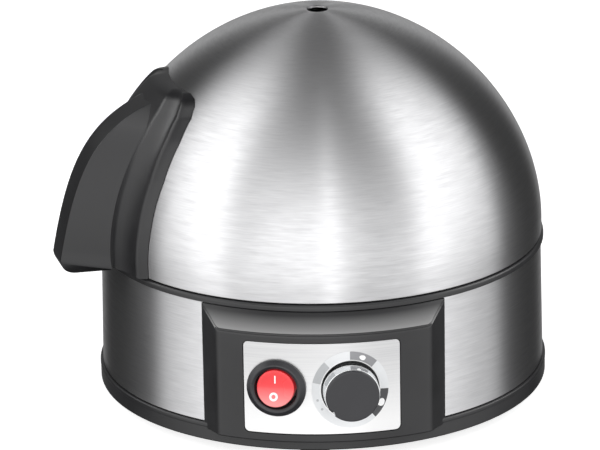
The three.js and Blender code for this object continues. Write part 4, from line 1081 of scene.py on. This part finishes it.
SADDLE_HEIGHT = 67 * MM
SADDLE_SIDE = [  # height and half-width in millimetres
    (0, 37.4), (20, 37), (38, 35.4), (52.5, 32), (60.5, 28.6), (64.5, 25), (66.2, 22), (67, 18)]
SADDLE_PROFILE = [  # share of the half-width, thickness in millimetres
    (0.0, 4.2), (0.52, 4.2), (0.57, 4.15), (0.60, 3.9), (0.66, 3.1), (0.74, 2.4), (0.82, 2.3), (0.875, 2.6),
    (0.91, 3.0), (0.94, 3.1), (0.965, 2.7), (0.985, 1.6), (1.0, 0.3)]


def saddle_half_width(height):
    """The saddle's half-width at a height above the lid's edge, both in metres."""
    for (low_z, low_half), (high_z, high_half) in zip(SADDLE_SIDE, SADDLE_SIDE[1:]):
        if height <= high_z * MM:
            share = (height / MM - low_z) / (high_z - low_z)
            return (low_half + (high_half - low_half) * share) * MM
    return SADDLE_SIDE[-1][1] * MM


def make_saddle():
    """The flange that lies against the dome: it narrows upward and thins towards its edges."""
    rows = 72
    half_profile = SADDLE_PROFILE
    shares = [-s for s, _ in half_profile[:0:-1]] + [s for s, _ in half_profile]
    thick = [t for _, t in half_profile[:0:-1]] + [t for _, t in half_profile]
    verts = []
    for layer in (1, 0):
        for row in range(rows + 1):
            up = row / rows
            z = LID_BOTTOM + SADDLE_HEIGHT * up
            half = saddle_half_width(z - LID_BOTTOM)
            thin = min(1.0, 0.6 + 0.4 * (1 - up) / 0.02)
            for share, amount in zip(shares, thick):
                side = share * half
                lift = (amount * thin * MM if layer else 0.15 * MM)
                radius = dome_radius(z, lift)
                out = math.sqrt(max(radius * radius - side * side, 0))
                verts.append((side, out, z))
    wide = len(shares)
    layer_size = wide * (rows + 1)
    faces = []
    for row in range(rows):
        for i in range(wide - 1):
            a = row * wide + i
            faces.append((a, a + 1, a + wide + 1, a + wide))
            b = a + layer_size
            faces.append((b, b + wide, b + wide + 1, b + 1))
    for row in range(rows):
        for i, flip in ((0, False), (wide - 1, True)):
            a = row * wide + i
            quad = (a, a + wide, a + wide + layer_size, a + layer_size)
            faces.append(tuple(reversed(quad)) if flip else quad)
    for row, flip in ((0, True), (rows, False)):
        for i in range(wide - 1):
            a = row * wide + i
            quad = (a, a + 1, a + 1 + layer_size, a + layer_size)
            faces.append(tuple(reversed(quad)) if flip else quad)
    saddle = moved(tidy(mesh_object("handle_saddle", verts, faces), 40), handle_matrix())
    ride(saddle, "lid", "black_plastic", HANDLE_PLASTIC)


# ---- Frame nodes that stay, with their finishes ----

KEPT = {
    "plate_seal": SILICONE, "heating_element": ZINC, "element_clamp": ZINC, "thermostat": ZINC,
    "thermal_fuse": IVORY, "fuse_clip": ZINC, "dial_nut": ZINC, "dial_shaft": BRASS,
    "control_board": BOARD_GREEN, "terminal_block": IVORY, "heating_plate": COATED, "egg_tray": TRAY_STEEL,
}


def finish_kept_nodes():
    for name, node in frame["nodes"].items():
        if "screw" in name or "washer" in name:
            chosen = ZINC
        elif "terminal_" in name and "switch" in name:
            chosen = BRASS
        else:
            chosen = KEPT.get(name, BLACK_PLASTIC)
        node.data.materials.clear()
        node.data.materials.append(chosen)


# ---- Studio ----


class SoftBox:
    """A soft-edged patch of studio light: where it stands round the cooker, its reach and its strength.

    Turns are in degrees from the front, to the right; rises are in degrees above level.
    """

    def __init__(self, turn, half_turn, rise, half_rise, blur_turn, blur_rise, strength):
        self.turn, self.half_turn, self.blur_turn = turn, half_turn, blur_turn
        self.rise, self.half_rise, self.blur_rise = rise, half_rise, blur_rise
        self.strength = strength

    def level(self, nodes, turn, rise):
        """Node output: this box's brightness in a direction."""
        away = nodes.math("ABSOLUTE", nodes.math("SUBTRACT", turn, self.turn))
        across = soft_step(nodes, away, self.half_turn, self.blur_turn)
        above = nodes.math("ABSOLUTE", nodes.math("SUBTRACT", rise, self.rise))
        upward = soft_step(nodes, above, self.half_rise, self.blur_rise)
        return nodes.math("MULTIPLY", nodes.math("MULTIPLY", across, upward), self.strength)


def soft_step(nodes, value, limit, blur):
    """1 inside a limit and 0 outside it, with a soft edge."""
    step = nodes.tree.nodes.new("ShaderNodeMapRange")
    step.interpolation_type = "SMOOTHSTEP"
    for socket, number in zip(step.inputs, (value, limit - blur, limit + blur, 1.0, 0.0)):
        nodes.feed(step, socket, number)
    return step.outputs[0]


STUDIO_BOXES = [
    SoftBox(0, 70, -5, 28, 30, 30, 1.0),  # the pale table in front
    SoftBox(87, 28, 46, 28, 8, 20, 1.3),  # right box
    SoftBox(76, 26, -2, 22, 6, 12, 0.68),  # its lower half
    SoftBox(-85, 28, 46, 28, 8, 20, 1.35),  # left box
    SoftBox(-71, 21, -2, 22, 6, 12, 0.72),  # its lower half
    SoftBox(5, 2.5, 15, 45, 3.5, 30, 1.0),  # narrow strip ahead
    SoftBox(-12, 24, 12, 24, 18, 16, 0.6),  # soft light below the camera
    SoftBox(-10, 46, 34, 18, 30, 24, 0.36),  # soft light above the camera
]
STUDIO_LEVEL = 1.3
REAR_GLOW = 0.32
DIM_ROOM = 0.035


def make_world():
    """The studio round the cooker: light from the front and sides, dark to the rear corners."""
    world = bpy.data.worlds.new("studio")
    bpy.context.scene.world = world
    world.use_nodes = True
    nodes = Nodes(world.node_tree)
    background = world.node_tree.nodes["Background"]
    place = nodes.add("ShaderNodeTexCoord")
    parts = nodes.add("ShaderNodeSeparateXYZ", Vector=place.outputs["Generated"])
    x, y, z = parts.outputs
    turn = nodes.math("DEGREES", nodes.math("ARCTAN2", x, nodes.math("MULTIPLY", y, -1.0)))
    rise = nodes.math("DEGREES", nodes.math("ARCSINE", z))
    total = DIM_ROOM
    for box in STUDIO_BOXES:
        total = nodes.math("ADD", total, box.level(nodes, turn, rise))
    behind = nodes.math("SUBTRACT", 1.0, soft_step(nodes, nodes.math("ABSOLUTE", turn), 158, 10))
    low_glow = nodes.math("MULTIPLY", behind, soft_step(nodes, nodes.math("ABSOLUTE", rise), 30, 25))
    total = nodes.math("ADD", total, nodes.math("MULTIPLY", low_glow, REAR_GLOW))
    path = nodes.add("ShaderNodeLightPath")
    tone = nodes.math("MAXIMUM", nodes.math("MULTIPLY", total, STUDIO_LEVEL), path.outputs["Is Camera Ray"])
    nodes.feed(background, "Color", nodes.add("ShaderNodeCombineXYZ", X=tone, Y=tone, Z=tone).outputs[0])


def make_studio():
    scene = bpy.context.scene
    scene.view_settings.view_transform = "Standard"
    scene.view_settings.look = "None"
    make_world()
    floor = mesh_object("floor", [(-3, -3, 0), (3, -3, 0), (3, 3, 0), (-3, 3, 0)], [(0, 1, 2, 3)])
    floor.location.z = CAD_BOX[0][2] - 0.05 * MM
    material, _, shader = finish("floor_white", Roughness=0.9)
    shader.inputs["Base Color"].default_value = (0.92, 0.92, 0.92, 1)
    shader.inputs["Emission Color"].default_value = (1, 1, 1, 1)
    shader.inputs["Emission Strength"].default_value = 0.75
    floor.data.materials.append(material)
    floor.visible_glossy = False
    floor.visible_diffuse = False
    floor.visible_shadow = False
    plastic_lamp("lamp_above", 0, 72, 0.5, 0.22, 2.6)
    plastic_lamp("lamp_left", -112, 35, 0.18, 0.5, 4)
    plastic_lamp("lamp_right", 100, 35, 0.25, 0.5, 6)


def plastic_lamp(name, turn, rise, width, height, radiance):
    """A panel of light that only the black plastic catches, aimed at the cooker."""
    lamp = bpy.data.lights.new(name, "AREA")
    lamp.shape = "RECTANGLE"
    lamp.size, lamp.size_y = width, height
    lamp.energy = radiance * math.pi * width * height
    panel = bpy.data.objects.new(name, lamp)
    bpy.context.scene.collection.objects.link(panel)
    turn, rise = math.radians(turn), math.radians(rise)
    away = Vector((math.sin(turn) * math.cos(rise), -math.cos(turn) * math.cos(rise), math.sin(rise)))
    panel.location = away * 0.9 + Vector((0, 0, 0.05))
    panel.rotation_euler = away.to_track_quat("Z", "Y").to_euler()
    panel.light_linking.receiver_collection = PLASTIC


def make_camera():
    """A long lens at the height of a person standing back from the table."""
    elevation = math.radians(19.45)
    roll = math.radians(-1.0)
    distance = 1.75
    target = Vector((-8.3 * MM, 0, 60.4 * MM))
    forward = Vector((0, math.cos(elevation), -math.sin(elevation)))
    right = Vector((1, 0, 0))
    up = right.cross(forward)
    tilted_right = right * math.cos(roll) + up * math.sin(roll)
    tilted_up = up * math.cos(roll) - right * math.sin(roll)
    camera = bpy.data.objects.new("camera", bpy.data.cameras.new("camera"))
    bpy.context.scene.collection.objects.link(camera)
    camera.data.lens = 263.4
    camera.data.sensor_width = 36
    camera.data.clip_start = 0.1
    turn = Matrix((tilted_right, tilted_up, -forward)).transposed().to_4x4()
    camera.matrix_world = Matrix.Translation(target - forward * distance) @ turn
    bpy.context.scene.camera = camera


make_camera()
make_studio()
finish_kept_nodes()
make_cover()
make_feet()
make_band()
make_shell()
make_housing()
make_plate()
make_scale()
make_bezel()
make_rocker()
make_dial()
make_dome()
make_fin()
make_saddle()
